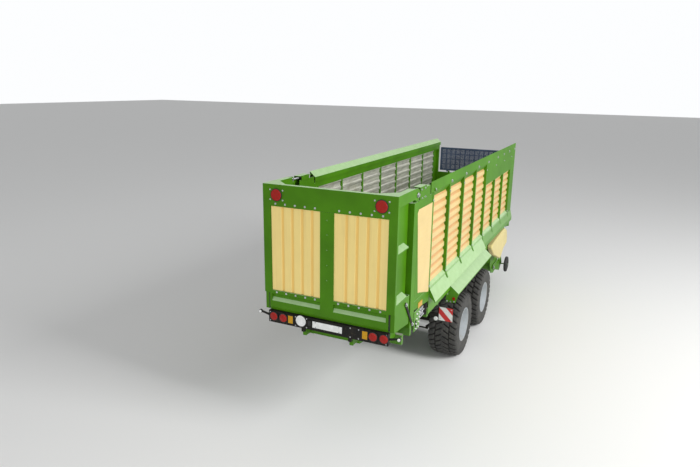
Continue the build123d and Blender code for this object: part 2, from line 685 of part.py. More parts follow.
def build_tailgate_frame():
    back = gate_depth
    parts = [block(back - 6.0, back, -outer_y, outer_y, gate_step_z, gate_top_z - 4.0)]
    for side in (-1.0, 1.0):
        parts.append(block(0.0, back, side * (gate_panel_outer_y + 6.0), side * outer_y, gate_step_z, gate_top_z))
    parts.append(block(0.0, back, -gate_panel_inner_y, gate_panel_inner_y, gate_panel_bottom_z - 4.0,
                       gate_panel_top_z + 4.0))
    parts.append(block(0.0, back, -outer_y, outer_y, gate_panel_top_z + 6.0, gate_top_z))
    parts.append(block(0.0, 90.0, -outer_y, outer_y, gate_top_z - 8.0, gate_top_z))
    # Stepped lower profile across the width, (x, z)
    profile = [(back, gate_panel_bottom_z - 6.0), (0.0, gate_panel_bottom_z - 6.0), (0.0, gate_step_z - 12.0),
               (34.0, 2190.0), (34.0, 2150.0), (0.0, 2095.0), (0.0, 1990.0), (20.0, gate_bottom_z),
               (back, gate_bottom_z)]
    parts.append(along_y(profile, -gate_low_y, gate_low_y))
    # The groove is closed at the middle post and at both ends
    parts.append(block(0.0, back, -gate_panel_inner_y, gate_panel_inner_y, 2088.0, gate_panel_bottom_z))
    for side in (-1.0, 1.0):
        parts.append(block(0.0, back, side * (gate_low_y - 40.0), side * gate_low_y, 2088.0, gate_step_z))
    for side in (-1.0, 1.0):
        # Wing sheet with its front flange, hollow rail, cheek round the hinge pin and the pin
        parts.append(along_y([(back - 6.0, gate_bottom_z), (wing_front_x - 60.0, gate_bottom_z - 80.0),
                              (wing_front_x, gate_bottom_z - 80.0), (wing_front_x, gate_rail_z + 5.0),
                              (back - 6.0, gate_rail_z + 5.0)], side * wing_sheet_y, side * (wing_sheet_y + 7.0)))
        parts.append(block(wing_front_x - 7.0, wing_front_x, side * (wing_sheet_y - 24.0), side * (wing_sheet_y + 3.0),
                           gate_bottom_z - 60.0, gate_rail_z - 20.0))
        rail = block(0.0, 700.0, side * rail_inner_y, side * outer_y, gate_rail_z, gate_top_z)
        hollow = block(back, 710.0, side * (rail_inner_y + rail_wall), side * (outer_y - rail_wall),
                       gate_rail_z + rail_wall, gate_top_z - rail_wall)
        parts.append(cut(rail, hollow))
        nose = [(690.0, gate_rail_z + 1.0), (690.0, gate_top_z), (700.0, gate_top_z),
                (gate_hinge_x, gate_hinge_z + gate_nose_radius - 0.5), (gate_hinge_x, gate_hinge_z - gate_nose_radius + 0.5)]
        parts.append(along_y(nose, side * gate_nose_y, side * outer_y))
        parts.append(bar_y(gate_hinge_x, gate_hinge_z, gate_nose_radius, side * gate_nose_y, side * outer_y))
        parts.append(bar_y(gate_hinge_x, gate_hinge_z, gate_pin_radius, side * 1052.0, side * (outer_y + 8.0)))
        for z in shelf_heights:
            shelf = [(wing_sheet_y + 2.0, z + wing_shelf_rise), (outer_y - 2.0, z), (outer_y - 2.0, z - 16.0),
                     (outer_y - 8.0, z - 16.0), (outer_y - 8.0, z - 4.0), (wing_sheet_y + 2.0, z + wing_shelf_rise - 8.0)]
            parts.append(along_x([(side * y, height) for y, height in shelf], back - 8.0, wing_shelf_x))
            end = [(wing_sheet_y + 2.0, z + wing_shelf_rise - 1.0), (outer_y - 3.0, z - 1.0), (outer_y - 3.0, z - 16.0),
                   (wing_sheet_y + 2.0, z - 16.0)]
            parts.append(along_x([(side * y, height) for y, height in end], wing_shelf_x - 6.0, wing_shelf_x))
        # Corner gusset on top
        parts.append(along_z([(60.0, side * (rail_inner_y + 4.0)), (60.0, side * (rail_inner_y - 240.0)),
                              (90.0, side * (rail_inner_y - 240.0)), (330.0, side * (rail_inner_y + 4.0))],
                             gate_top_z - 8.0, gate_top_z))
    return fused(parts)


def gate_panel(y0, y1):
    """One beige tailgate sheet with upright corrugations."""
    z0 = gate_panel_bottom_z
    z1 = gate_panel_top_z
    count = 5
    step = (y1 - y0) / count
    rear = 14.0
    valley = 30.0
    # rear side across the width: (x, share of one corrugation)
    wave = ((rear, 0.0), (rear, 0.66), (valley, 0.78), (valley, 0.9))
    line = [(x, y0 + (row + share) * step) for row in range(count) for x, share in wave][:-2]
    line.append((rear, y1))
    front = [(x + 5.0, y) for x, y in reversed(line)]
    return along_z(line + front, z0, z1)


def build_gate_panels():
    inner = gate_panel_inner_y + seat_gap
    outer = gate_panel_outer_y
    panels = [gate_panel(inner, outer), gate_panel(-outer, -inner)]
    return panels


def build_gate_ram(side):
    """A short ram in the top rail: its barrel in the body's short rail, its rod back to the tailgate's nose."""
    y = side * gate_ram_y
    z = gate_ram_z
    foot_x = gate_ram_foot_x
    pin_radius = gate_ram_pin_radius - 2.0
    barrel = bar_x(y, z, gate_ram_radius, gate_ram_start_x, foot_x - 12.0)
    foot = bar_y(foot_x, z, 20.0, y - 13.0, y + 13.0)
    bore = bar_x(y, z, gate_rod_radius + running_clearance, gate_ram_start_x - 10.0, foot_x - 50.0)
    foot_bore = bar_y(foot_x, z, pin_radius + running_clearance, y - 40.0, y + 40.0)
    barrel = cut(barrel.fuse(foot), bore, foot_bore)
    # The linkage is opened here: the eye carries its own pin, which ends short of the tailgate's nose
    rod = bar_x(y, z, gate_rod_radius, gate_ram_x, gate_ram_x + gate_rod_length)
    eye = bar_y(gate_ram_x, z, 24.0, y - 16.0, y + 16.0)
    pin = bar_y(gate_ram_x, z, gate_ram_pin_radius, y, side * (gate_nose_y - 2.0))
    return barrel, rod.fuse(eye, pin)


# Lights, plates and boards

def build_light_bar():
    bar = block(bar_rear_x, 55.0, -bar_half, bar_half, bar_bottom_z, bar_top_z)
    hollow = block(bar_rear_x + 5.0, 60.0, -bar_half + 5.0, bar_half - 5.0, bar_bottom_z + 5.0, bar_top_z - 5.0)
    parts = [cut(bar, hollow)]
    for side in (-1.0, 1.0):
        arm = along_x([(side * (bar_half - 4.0), lamp_z - 18.0), (side * 1185.0, lamp_z + 18.0),
                       (side * 1185.0, lamp_z + 42.0), (side * (bar_half - 4.0), lamp_z + 12.0)], -10.0, 14.0)
        parts.append(arm)
        # Bracket to the frame's rear uprights
        parts.append(block(bar_rear_x + 4.0, 40.0 - seat_gap, side * beam_y - 26.0, side * beam_y + 26.0,
                           bar_bottom_z - 60.0, bar_bottom_z + 20.0))
    return fused(parts)


def lamp(y, z, radius):
    """A round lamp with a bevelled face, on the light bar's rear."""
    face_x = bar_rear_x - lamp_proud
    body = bar_x(y, z, radius, face_x, bar_rear_x)
    return chamfer(body.edges().group_by(Axis.X)[0], 8.0)


def build_rear_lamps():
    # places across the width of the four red lamps
    return [lamp(y, lamp_z, 68.0) for y in (938.0, 762.0, -800.0, -976.0)]


def build_amber_lamps():
    lamps = [block(bar_rear_x - 18.0, bar_rear_x, y - 42.0, y + 42.0, lamp_z - 62.0, lamp_z + 62.0)
             for y in (626.0, -668.0)]
    return lamps


def build_plates():
    disc = bar_x(444.0, lamp_z + 8.0, 96.0, bar_rear_x - 5.0, bar_rear_x)
    plate = block(bar_rear_x - 5.0, bar_rear_x, -284.0, 236.0, lamp_z - 62.0, lamp_z + 48.0)
    return [disc, plate]


def build_markers():
    return [bar_x(side * 1207.0, lamp_z + 30.0, 22.0, -24.0, 26.0) for side in (-1.0, 1.0)]


def build_gate_lamps():
    lamps = []
    for y in (-873.0, 873.0):
        body = bar_x(y, gate_lamp_z, 90.0, -24.0, 0.0)
        lamps.append(chamfer(body.edges().group_by(Axis.X)[0], 8.0))
    return lamps


board_x = 2700.0
board_bottom_z = 1127.0
board_size = 268.0


def build_boards():
    """A warning board before each pair of wheels."""
    boards = [block(board_x - 4.0, board_x, side * 1017.0, side * (1017.0 + board_size), board_bottom_z,
                    board_bottom_z + board_size) for side in (-1.0, 1.0)]
    return boards


def build_board_arms():
    """The black arms that carry the warning boards, from the frame's beams."""
    arms = []
    for side in (-1.0, 1.0):
        arm = block(board_x + seat_gap, board_x + 34.0, side * (beam_y + beam_width / 2.0), side * 1200.0, 1180.0,
                    1350.0)
        arm = cut(arm, block(board_x - 20.0, board_x + 60.0, side * 600.0, side * 1010.0, 1250.0, 1400.0))
        tie = block(board_x + seat_gap, board_x + 34.0, side * (beam_y + beam_width / 2.0 + seat_gap),
                    side * 640.0, 1300.0, 1500.0)
        arms.append(arm.fuse(tie))
    return arms


# Running gear

def build_springs():
    springs = []
    half = wheel_base / 2.0 + 70.0
    for side in (-1.0, 1.0):
        y0 = side * spring_y - spring_width / 2.0
        leaves = []
        for index in range(leaf_count):
            reach = half - leaf_step * index
            top = spring_end_z + spring_rise + leaf_thickness * (leaf_count - index)
            sag = spring_rise * (reach / half) ** 2
            lower = [(bogie_x - reach, top - leaf_thickness - sag), (bogie_x, top - leaf_thickness),
                     (bogie_x + reach, top - leaf_thickness - sag)]
            upper = [(bogie_x + reach, top - sag), (bogie_x, top), (bogie_x - reach, top - sag)]
            edge = [Edge.make_three_point_arc(*[(x, y0, z) for x, z in lower]),
                    Edge.make_line((lower[2][0], y0, lower[2][1]), (upper[0][0], y0, upper[0][1])),
                    Edge.make_three_point_arc(*[(x, y0, z) for x, z in upper]),
                    Edge.make_line((upper[2][0], y0, upper[2][1]), (lower[0][0], y0, lower[0][1]))]
            leaves.append(extrude(make_face(edge), amount=spring_width, dir=(0, 1, 0)))
        clamp = block(bogie_x - 90.0, bogie_x + 90.0, y0 - 2.0, y0 + spring_width + 2.0, spring_end_z + spring_rise - 8.0,
                      1010.0)
        spring = fused(leaves + [clamp])
        springs.append(cut(spring, bar_y(bogie_x, 960.0, 36.0 + seat_gap, y0 - 60.0, y0 + spring_width + 60.0)))
    return springs


def spring_seat_top(axle_x):
    """The lower face of the main leaf above an axle."""
    half = wheel_base / 2.0 + 70.0
    reach = abs(axle_x - bogie_x) + 55.0
    top = spring_end_z + spring_rise + leaf_thickness * leaf_count
    return top - leaf_thickness - spring_rise * (reach / half) ** 2 - seat_gap


def build_front_axle():
    parts = [block(front_axle_x - axle_half, front_axle_x + axle_half, -620.0, 620.0, axle_z - axle_half,
                   axle_z + axle_half)]
    for side in (-1.0, 1.0):
        parts.append(bar_y(front_axle_x, axle_z, spindle_radius, side * 600.0, side * spindle_tip_y))
        parts.append(bar_y(front_axle_x, axle_z, 120.0, side * 600.0, side * 640.0))
        parts.append(block(front_axle_x - 55.0, front_axle_x + 55.0, side * spring_y - 40.0, side * spring_y + 40.0,
                           axle_z, spring_seat_top(front_axle_x)))
    return fused(parts)


def build_rear_axle():
    parts = [block(rear_axle_x - axle_half, rear_axle_x + axle_half, -545.0, 545.0, axle_z - axle_half,
                   axle_z + axle_half)]
    for side in (-1.0, 1.0):
        parts.append(block(rear_axle_x - 55.0, rear_axle_x + 55.0, side * spring_y - 40.0, side * spring_y + 40.0,
                           axle_z, spring_seat_top(rear_axle_x)))
        eye = bar_z(rear_axle_x, side * kingpin_y, 58.0, axle_z - 62.0, axle_z + 62.0)
        parts.append(eye)
    axle = fused(parts)
    bores = [bar_z(rear_axle_x, side * kingpin_y, kingpin_radius + running_clearance, axle_z - 90.0, axle_z + 90.0)
             for side in (-1.0, 1.0)]
    return cut(axle, *bores)


def build_knuckle():
    """The left rear wheel's steering knuckle: fork, kingpin, spindle and steering arm."""
    fork = block(rear_axle_x - 60.0, rear_axle_x + 60.0, kingpin_y - 55.0, 690.0, axle_z - 96.0, axle_z + 96.0)
    gap = block(rear_axle_x - 80.0, rear_axle_x + 80.0, kingpin_y - 80.0, kingpin_y + 65.0, axle_z - 67.0,
                axle_z + 67.0)
    spindle = bar_y(rear_axle_x, axle_z, spindle_radius, 680.0, spindle_tip_y)
    kingpin = bar_z(rear_axle_x, kingpin_y, kingpin_radius, axle_z - 96.0, axle_z + 96.0)
    arm = along_z([(rear_axle_x - 50.0, kingpin_y - 40.0), (rear_axle_x - 50.0, kingpin_y + 40.0),
                   (rear_axle_x - tie_arm_back - 26.0, tie_arm_y + 24.0),
                   (rear_axle_x - tie_arm_back - 26.0, tie_arm_y - 24.0)], axle_z - 96.0, axle_z - 72.0)
    tie_pin = bar_z(rear_axle_x - tie_arm_back, tie_arm_y, tie_pin_radius, tie_rod_z - 30.0, axle_z - 80.0)
    return fused([cut(fork, gap), spindle, kingpin, arm, tie_pin])


def build_tie_rod():
    """The tie rod behind the rear axle, with an eye on each steering arm's pin."""
    x = rear_axle_x - tie_arm_back
    z = tie_rod_z - 14.0
    parts = [bar_y(x, z, 16.0, -tie_arm_y + 20.0, tie_arm_y - 20.0)]
    for side in (-1.0, 1.0):
        parts.append(bar_z(x, side * tie_arm_y, 27.0, z - 14.0, z + 14.0))
    rod = fused(parts)
    own = bar_z(x, -tie_arm_y, tie_pin_radius + running_clearance, z - 40.0, z + 40.0)
    loose = bar_z(x, tie_arm_y, tie_pin_radius + 6.0, z - 40.0, z + 40.0)
    return cut(rod, own, loose)


def revolved(points, x, z):
    """A turned body about a line along the width: (y, radius) points."""
    face = make_face(Polyline(*[(x, y, z + radius) for y, radius in points], close=True))
    return revolve(face, axis=Axis((x, 0, z), (0, 1, 0)), revolution_arc=360)


def build_tyre(x, side):
    """A wide flotation tyre: rounded carcass and leaning lugs that run down the shoulders."""
    half = tyre_width / 2.0
    y = side * tyre_centre_y
    base = tyre_radius - lug_depth
    # section: (share of the half width, radius), from the inner bead over the tread to the outer bead
    section = ((0.86, rim_radius + seat_gap), (1.0, 450.0), (0.98, 560.0), (0.88, base - 28.0), (0.6, base))
    flank = [(y + half * share, radius) for share, radius in section]
    other = [(2.0 * y - place, radius) for place, radius in reversed(flank)]
    carcass = revolved(flank + other, x, axle_z)
    lugs = []
    for index in range(lug_count):
        for row in (-1.0, 1.0):
            turn = 360.0 / lug_count * (index + (0.25 if row > 0 else -0.25))
            outline = [(-lug_width / 2.0, -10.0), (lug_width / 2.0, -10.0), (lug_width / 2.0 - 8.0, lug_depth + 24.0),
                       (-lug_width / 2.0 + 8.0, lug_depth + 24.0)]
            length = half * 0.93
            lug = extrude(make_face(Polyline(*[(a, 0.0, b) for a, b in outline], close=True)), amount=length,
                          dir=(0, 1, 0))
            lean = Rot(0, 0, -lug_lean if row > 0 else lug_lean)
            place = lug if row > 0 else lug.mirror(Plane.XZ)
            place = Pos(0, row * 12.0, base - 26.0) * lean * place
            lugs.append(Pos(x, y, axle_z) * Rot(0, turn, 0) * place)
    tread = [(y - half * 0.9, base - 60.0), (y - half * 0.95, base - 52.0), (y - half * 0.86, tyre_radius - 20.0),
             (y - half * 0.6, tyre_radius), (y + half * 0.6, tyre_radius), (y + half * 0.86, tyre_radius - 20.0),
             (y + half * 0.95, base - 52.0), (y + half * 0.9, base - 60.0)]
    envelope = revolved(tread, x, axle_z)
    blocks = [part for lug in lugs for part in (lug & envelope).solids()]
    return carcass.fuse(*blocks)


def build_rim(x, side):
    """A deep rim with its disc near the outer side, hub and wheel nuts' flange."""
    half = tyre_width / 2.0
    y = side * tyre_centre_y
    out = side * half * 0.86
    lip_out = side * half * 0.94
    # turned barrel: (place across, radius)
    ring = [(y - lip_out, rim_radius + rim_lip), (y - out, rim_radius), (y - out * 0.3, rim_radius - 60.0),
            (y + out * 0.3, rim_radius - 60.0), (y + out, rim_radius), (y + lip_out, rim_radius + rim_lip),
            (y + lip_out, rim_radius - 4.0), (y + out * 0.34, rim_radius - 70.0), (y - out * 0.34, rim_radius - 70.0),
            (y - lip_out, rim_radius - 4.0)]
    barrel = revolved(ring, x, axle_z)
    disc_y = y + side * 40.0
    # dished disc and hub: (place across, radius)
    disc = [(disc_y - side * 10.0, 0.0), (disc_y + side * 10.0, 0.0), (disc_y + side * 10.0, 190.0),
            (disc_y + side * 34.0, rim_radius - 66.0), (disc_y + side * 16.0, rim_radius - 66.0),
            (disc_y - side * 10.0, 200.0)]
    plate = revolved(disc, x, axle_z)
    hub = bar_y(x, axle_z, hub_radius, side * 720.0, disc_y)
    cap = bar_y(x, axle_z, 80.0, disc_y, disc_y + side * 90.0)
    drum = bar_y(x, axle_z, drum_radius, side * 720.0, side * 860.0)
    wheel = barrel.fuse(plate, hub, cap, drum)
    return cut(wheel, bar_y(x, axle_z, spindle_radius + running_clearance, side * 650.0, side * (spindle_tip_y + 8.0)))


# Intake: side plates, channel, feed rotor, pick-up

def arc_points(centre, radius, start, end, count):
    """Points on an arc, degrees counted from straight ahead, up being positive."""
    turns = [math.radians(start + (end - start) * index / count) for index in range(count + 1)]
    return [(centre[0] + radius * math.cos(turn), centre[1] + radius * math.sin(turn)) for turn in turns]


def build_housing():
    """The side plates and the curved channel behind the feed rotor."""
    centre = (rotor_x, rotor_z)
    outline = [(7370.0, 1440.0), (7370.0, 900.0), (7560.0, 640.0), (7850.0, 560.0), (8130.0, 600.0), (8310.0, 800.0),
               (8330.0, 1100.0), (8330.0, 1440.0)]
    parts = []
    for side in (-1.0, 1.0):
        plate = along_y(outline, side * housing_y, side * (housing_y + housing_plate))
        boss = bar_y(rotor_x, rotor_z, 90.0, side * housing_y, side * (housing_y + 24.0))
        pivot = bar_y(lift_x, lift_z, lift_pin_radius, side * (housing_y + 10.0), side * (housing_y + 52.0))
        tab = block(8240.0, 8330.0, side * housing_y, side * (housing_y + housing_plate), 1430.0, 1500.0)
        back = block(7370.0, 7450.0, side * housing_y, side * (housing_y + housing_plate), 1430.0, 1600.0)
        parts += [plate, boss, pivot, tab, back]
    channel = arc_points(centre, channel_radius, -70.0, -180.0, 8)
    rear = [(rotor_x - channel_radius, 1240.0), (floor_front_x + 6.0, floor_front_z - 26.0)]
    skin = channel + rear
    outer = [(x - 9.0, z) for x, z in reversed(rear)] + arc_points(centre, channel_radius + 9.0, -180.0, -70.0, 8)
    parts.append(along_y(skin + outer, -housing_y - 2.0, housing_y + 2.0))
    parts.append(block(7400.0, 7480.0, -housing_y, housing_y, 960.0, 1040.0))
    housing = fused(parts)
    bore = bar_y(rotor_x, rotor_z, rotor_bearing_radius + running_clearance, -housing_y - 40.0, housing_y + 40.0)
    return cut(housing, bore)


def build_rotor():
    """The feed rotor: a drum with rows of broad teeth that wind round it."""
    parts = [bar_y(rotor_x, rotor_z, rotor_drum, -rotor_half, rotor_half),
             bar_y(rotor_x, rotor_z, rotor_bearing_radius, -housing_y - 22.0, housing_y + 22.0)]
    stars = 9
    arms = 5
    for star in range(stars):
        y = -rotor_half + 60.0 + star * (2.0 * rotor_half - 120.0) / (stars - 1)
        twist = 360.0 / arms / 4.0 * abs(star - stars // 2)
        for arm in range(arms):
            tooth = along_y([(-60.0, 100.0), (60.0, 100.0), (30.0, rotor_tip - 30.0), (6.0, rotor_tip - 4.0),
                             (-18.0, rotor_tip - 60.0)], -14.0, 14.0)
            parts.append(Pos(rotor_x, y, rotor_z) * Rot(0, twist + 360.0 / arms * arm, 0) * tooth)
    return fused(parts)


def pickup_arm(side):
    """The pick-up's side plate, from its pivot beside the housing to the reel's bearing."""
    y0 = side * (housing_y + 34.0)
    outline = [(lift_x - 55.0, lift_z - 40.0), (lift_x - 40.0, lift_z + 55.0), (lift_x + 60.0, lift_z + 60.0),
               (8290.0, 830.0), (8330.0, 975.0), (8430.0, 975.0),
               (8640.0, 800.0), (8760.0, 700.0), (8740.0, 560.0), (8560.0, 440.0), (8300.0, 520.0), (lift_x + 40.0, lift_z - 60.0)]
    return along_y(outline, y0, side * (housing_y + 46.0))


def build_pickup_frame():
    parts = []
    for side in (-1.0, 1.0):
        parts.append(pickup_arm(side))
        parts.append(bar_y(reel_x, reel_z, 60.0, side * (reel_half + 12.0), side * (housing_y + 40.0)))
        # Arm of the gauge wheel
        arm = along_y([(8330.0, 760.0), (8330.0, 820.0), (8560.0, 860.0), (8730.0, 640.0), (8693.0, 575.0),
                       (8650.0, 610.0), (8530.0, 790.0)], side * (housing_y + 46.0), side * (housing_y + 70.0))
        parts.append(arm)
        axle = bar_y(gauge_x, gauge_z, 16.0, side * (housing_y + 50.0), side * (gauge_y + gauge_width / 2.0 + 10.0))
        parts.append(axle)
    # Cross tube behind the reel, and the curved stripper bands round it
    tube_x = 8385.0
    tube_z = 840.0
    parts.append(block(tube_x - 40.0, tube_x + 20.0, -housing_y - 40.0, housing_y + 40.0, tube_z + 60.0, tube_z + 120.0))
    step = 2.0 * (reel_half - 30.0) / (band_count - 1)
    for index in range(band_count):
        y = -reel_half + 30.0 + step * index
        bow = arc_points((reel_x, reel_z), band_radius, 124.0, -100.0, 8)
        back = arc_points((reel_x, reel_z), band_radius - 7.0, -100.0, 130.0, 8)
        tail = [(tube_x - 7.0, tube_z + 90.0), (tube_x - 19.0, tube_z + 90.0)]
        band = along_y([tail[0]] + bow + back + [tail[1]], y - 27.0, y + 27.0)
        parts.append(band)
    frame = fused(parts)
    bores = []
    for side in (-1.0, 1.0):
        bores.append(bar_y(lift_x, lift_z, lift_pin_radius + running_clearance, side * (housing_y + 20.0),
                           side * (housing_y + 80.0)))
        bores.append(bar_y(reel_x, reel_z, reel_shaft_radius + running_clearance, side * (reel_half - 10.0),
                           side * (housing_y + 30.0)))
    return cut(frame, *bores)


def build_reel():
    """The tined reel: a tube with rows of paired spring tines between the bands."""
    parts = [bar_y(reel_x, reel_z, reel_drum, -reel_half, reel_half),
             bar_y(reel_x, reel_z, reel_shaft_radius, -housing_y - 26.0, housing_y + 26.0)]
    step = 2.0 * (reel_half - 30.0) / (band_count - 1)
    for row in range(tine_rows):
        for index in range(band_count - 1):
            y = -reel_half + 30.0 + step * (index + 0.5)
            tine = along_y([(-8.0, reel_drum - 14.0), (8.0, reel_drum - 14.0), (10.0, reel_tip - 70.0),
                            (-24.0, reel_tip - 8.0), (-30.0, reel_tip - 12.0), (-6.0, reel_tip - 70.0)], -9.0, 9.0)
            parts.append(Pos(reel_x, y, reel_z) * Rot(0, 360.0 / tine_rows * row, 0) * tine)
    return fused(parts)


def build_gauge_wheel(side):
    """A small pneumatic gauge wheel of the pick-up."""
    y = side * gauge_y
    half = gauge_width / 2.0
    # turned section: (place across, radius)
    section = [(y - half + 22.0, 60.0), (y - half, 140.0), (y - half + 14.0, 205.0), (y, gauge_radius),
               (y + half - 14.0, 205.0), (y + half, 140.0), (y + half - 22.0, 60.0),
               (y + half - 22.0, 16.0 + running_clearance), (y - half + 22.0, 16.0 + running_clearance)]
    return revolved(section, gauge_x, gauge_z)


def build_cover():
    """The moulded cover over the intake's drive, open towards the wagon."""
    # outline seen from the side, (x, z)
    outline = [(cover_rear_x, 1700.0), (7700.0, 1790.0), (8070.0, 1790.0), (8300.0, 1690.0), (8410.0, 1500.0),
               (8420.0, 1300.0), (8010.0, 1240.0), (7660.0, 1050.0), (6760.0, 1380.0)]
    outer = along_y(outline, cover_inner_y, cover_outer_y)
    outer = fillet(outer.edges().filter_by(Axis.Y), 60.0)
    outer = fillet(outer.faces().sort_by(Axis.Y)[-1].edges(), 35.0)
    inner = offset(outer, amount=-cover_sheet, openings=outer.faces().sort_by(Axis.Y)[0])
    return inner


# Drawbar, its rams and the parking jack

def build_drawbar():
    parts = []
    outline = [(neck_pivot_x - 70.0, neck_pivot_z - 70.0), (neck_pivot_x - 70.0, neck_pivot_z + 70.0),
               (neck_pivot_x + 120.0, neck_pivot_z + 80.0), (drawbar_lug_x, 930.0), (10900.0, 700.0), (11060.0, 640.0),
               (11060.0, 500.0), (10800.0, 500.0), (drawbar_lug_x, 640.0), (neck_pivot_x + 100.0, neck_pivot_z - 110.0)]
    parts.append(along_y(outline, -drawbar_half, drawbar_half))
    parts.append(bar_y(neck_pivot_x, neck_pivot_z, 78.0, -neck_y + 52.0, neck_y - 52.0))
    parts.append(bar_y(neck_pivot_x, neck_pivot_z, neck_pin_radius, -neck_y - 56.0, neck_y + 56.0))
    # Cross bar and lugs of the rams
    for side in (-1.0, 1.0):
        lug = along_y([(drawbar_lug_x - 130.0, 800.0), (drawbar_lug_x - 40.0, drawbar_lug_z + 36.0),
                       (drawbar_lug_x + 40.0, drawbar_lug_z + 36.0), (drawbar_lug_x + 130.0, 780.0)],
                      side * neck_y - 12.0, side * neck_y + 12.0)
        parts.append(lug)
        parts.append(bar_y(drawbar_lug_x, drawbar_lug_z, ram_pin_radius * 1.4, side * neck_y - 44.0,
                           side * neck_y + 44.0))
    parts.append(block(drawbar_lug_x - 60.0, drawbar_lug_x + 60.0, -neck_y - 12.0, neck_y + 12.0, 780.0, 880.0))
    # Tow eye
    parts.append(block(11040.0, hitch_eye_x - 30.0, -hitch_eye_width / 2.0, hitch_eye_width / 2.0, 520.0, 600.0))
    flange = block(11050.0, 11075.0, -90.0, 90.0, 490.0, 640.0)
    parts.append(flange)
    parts.append(bar_z(hitch_eye_x, 0.0, hitch_eye_outer, hitch_eye_z - hitch_eye_width / 2.0,
                       hitch_eye_z + hitch_eye_width / 2.0))
    # Jack's outer tube on its bracket
    outer = block(jack_x - jack_outer, jack_x + jack_outer, jack_y - jack_outer, jack_y + jack_outer, 360.0, 900.0)
    parts.append(block(jack_x - 60.0, jack_x + 60.0, drawbar_half - 10.0, jack_y - jack_outer + 5.0, 620.0, 760.0))
    parts.append(outer)
    bar = fused(parts)
    hollow = block(jack_x - jack_inner - seat_gap, jack_x + jack_inner + seat_gap, jack_y - jack_inner - seat_gap,
                   jack_y + jack_inner + seat_gap, 350.0, 890.0)
    eye_bore = bar_z(hitch_eye_x, 0.0, hitch_eye_bore, hitch_eye_z - 60.0, hitch_eye_z + 60.0)
    return cut(bar, hollow, eye_bore)


def build_jack_leg():
    """The parking jack's inner leg and its round foot, on the ground."""
    leg = block(jack_x - jack_inner, jack_x + jack_inner, jack_y - jack_inner, jack_y + jack_inner, 10.0, 540.0)
    foot = bar_z(jack_x, jack_y, jack_foot_radius, 0.0, 14.0)
    return leg.fuse(foot)


def build_drawbar_ram(side):
    """A ram between neck and drawbar: barrel at the neck, rod at the drawbar."""
    start = (drawbar_ram_x, drawbar_ram_z)
    end = (drawbar_lug_x, drawbar_lug_z)
    length = math.hypot(end[0] - start[0], end[1] - start[1])
    # Each ram has a fork at both ends, either side of its lug
    y = side * neck_y
    pin = ram_pin_radius * 1.4
    barrel = bar_between(point_towards(start, end, 62.0), point_towards(start, end, length - 300.0),
                         drawbar_barrel_radius, y)
    bore = bar_between(point_towards(start, end, 140.0), point_towards(start, end, length),
                       drawbar_rod_radius + running_clearance, y)
    barrel = cut(barrel, bore)
    rod = bar_between(point_towards(start, end, 320.0), point_towards(start, end, length - 62.0), drawbar_rod_radius, y)
    forks = []
    # ends: pin, point that the fork reaches
    for place, reach in ((start, point_towards(start, end, 84.0)), (end, point_towards(end, start, 84.0))):
        cheeks = []
        for offset_y in (-1.0, 1.0):
            near = y + offset_y * 15.0
            far = y + offset_y * 33.0
            eye = bar_y(place[0], place[1], 34.0, near, far)
            web = bar_between(place, reach, 30.0, y)
            slab = block(place[0] - 200.0, place[0] + 200.0, min(near, far), max(near, far), place[1] - 200.0,
                         place[1] + 200.0)
            cheeks += [eye, web & slab]
        forks.append(cheeks)
    pins = [bar_y(point[0], point[1], pin + running_clearance, y - 60.0, y + 60.0) for point in (start, end)]
    bridge = bar_between(point_towards(start, end, 56.0), point_towards(start, end, 84.0), 36.0, y)
    rod_bridge = bar_between(point_towards(end, start, 56.0), point_towards(end, start, 84.0), 36.0, y)
    barrel = cut(fused([barrel, bridge] + forks[0]), pins[0])
    loose = bar_y(end[0], end[1], pin + 3.0, y - 60.0, y + 60.0)
    rod = cut(fused([rod, rod_bridge] + forks[1]), loose)
    return barrel, rod


def build_gearbox():
    """The input gearbox below the front cross member, its stub shaft and the cross shaft's tube."""
    parts = [block(8740.0, 8990.0, -140.0, 140.0, 1200.0, 1480.0 - seat_gap)]
    parts.append(bar_x(0.0, 1320.0, 60.0, 8980.0, 9020.0))
    parts.append(bar_x(0.0, 1320.0, 17.5, 9010.0, 9110.0))
    parts.append(bar_y(8865.0, 1330.0, 45.0, 130.0, housing_y + housing_plate + 30.0))
    parts.append(block(8790.0, 8940.0, housing_y + housing_plate - 12.0, housing_y + housing_plate + 38.0, 1280.0,
                       1450.0 - seat_gap))
    return fused(parts)


save("chassis_frame", build_chassis())
save("neck_frame", build_neck())
save("bogie_brackets", build_bogie_brackets())
save("floor_deck", build_floor())
save("scraper_chains", *build_chains())
save("scraper_shaft", build_shaft())
side_wall = build_side_wall()
save("side_wall_left", side_wall)
save("side_wall_right", mirrored(side_wall))
save("side_panels", *[piece for panel in build_side_panels() for piece in both(panel)])
save("skirts", *both(build_skirt()))
save("front_wall", build_front_wall())
save("headboard", build_headboard())
save("tailgate_frame", build_tailgate_frame())
save("tailgate_panels", *build_gate_panels())
save("tailgate_lamps", *build_gate_lamps())
for ram_name, ram_side in (("left", 1.0), ("right", -1.0)):
    gate_barrel, gate_rod = build_gate_ram(ram_side)
    save(f"tailgate_barrel_{ram_name}", gate_barrel)
    save(f"tailgate_rod_{ram_name}", gate_rod)
    neck_barrel, neck_rod = build_drawbar_ram(ram_side)
    save(f"drawbar_barrel_{ram_name}", neck_barrel)
    save(f"drawbar_rod_{ram_name}", neck_rod)
    save(f"gauge_wheel_{ram_name}", build_gauge_wheel(ram_side))
    for axle_name, axle_x in (("front", front_axle_x), ("rear", rear_axle_x)):
        save(f"tyre_{axle_name}_{ram_name}", build_tyre(axle_x, ram_side))
        save(f"rim_{axle_name}_{ram_name}", build_rim(axle_x, ram_side))
save("light_bar", build_light_bar())
save("rear_lamps", *build_rear_lamps())
save("amber_lamps", *build_amber_lamps())
save("plates", *build_plates())
save("marker_lamps", *build_markers())
save("warning_boards", *build_boards())
save("board_arms", *build_board_arms())
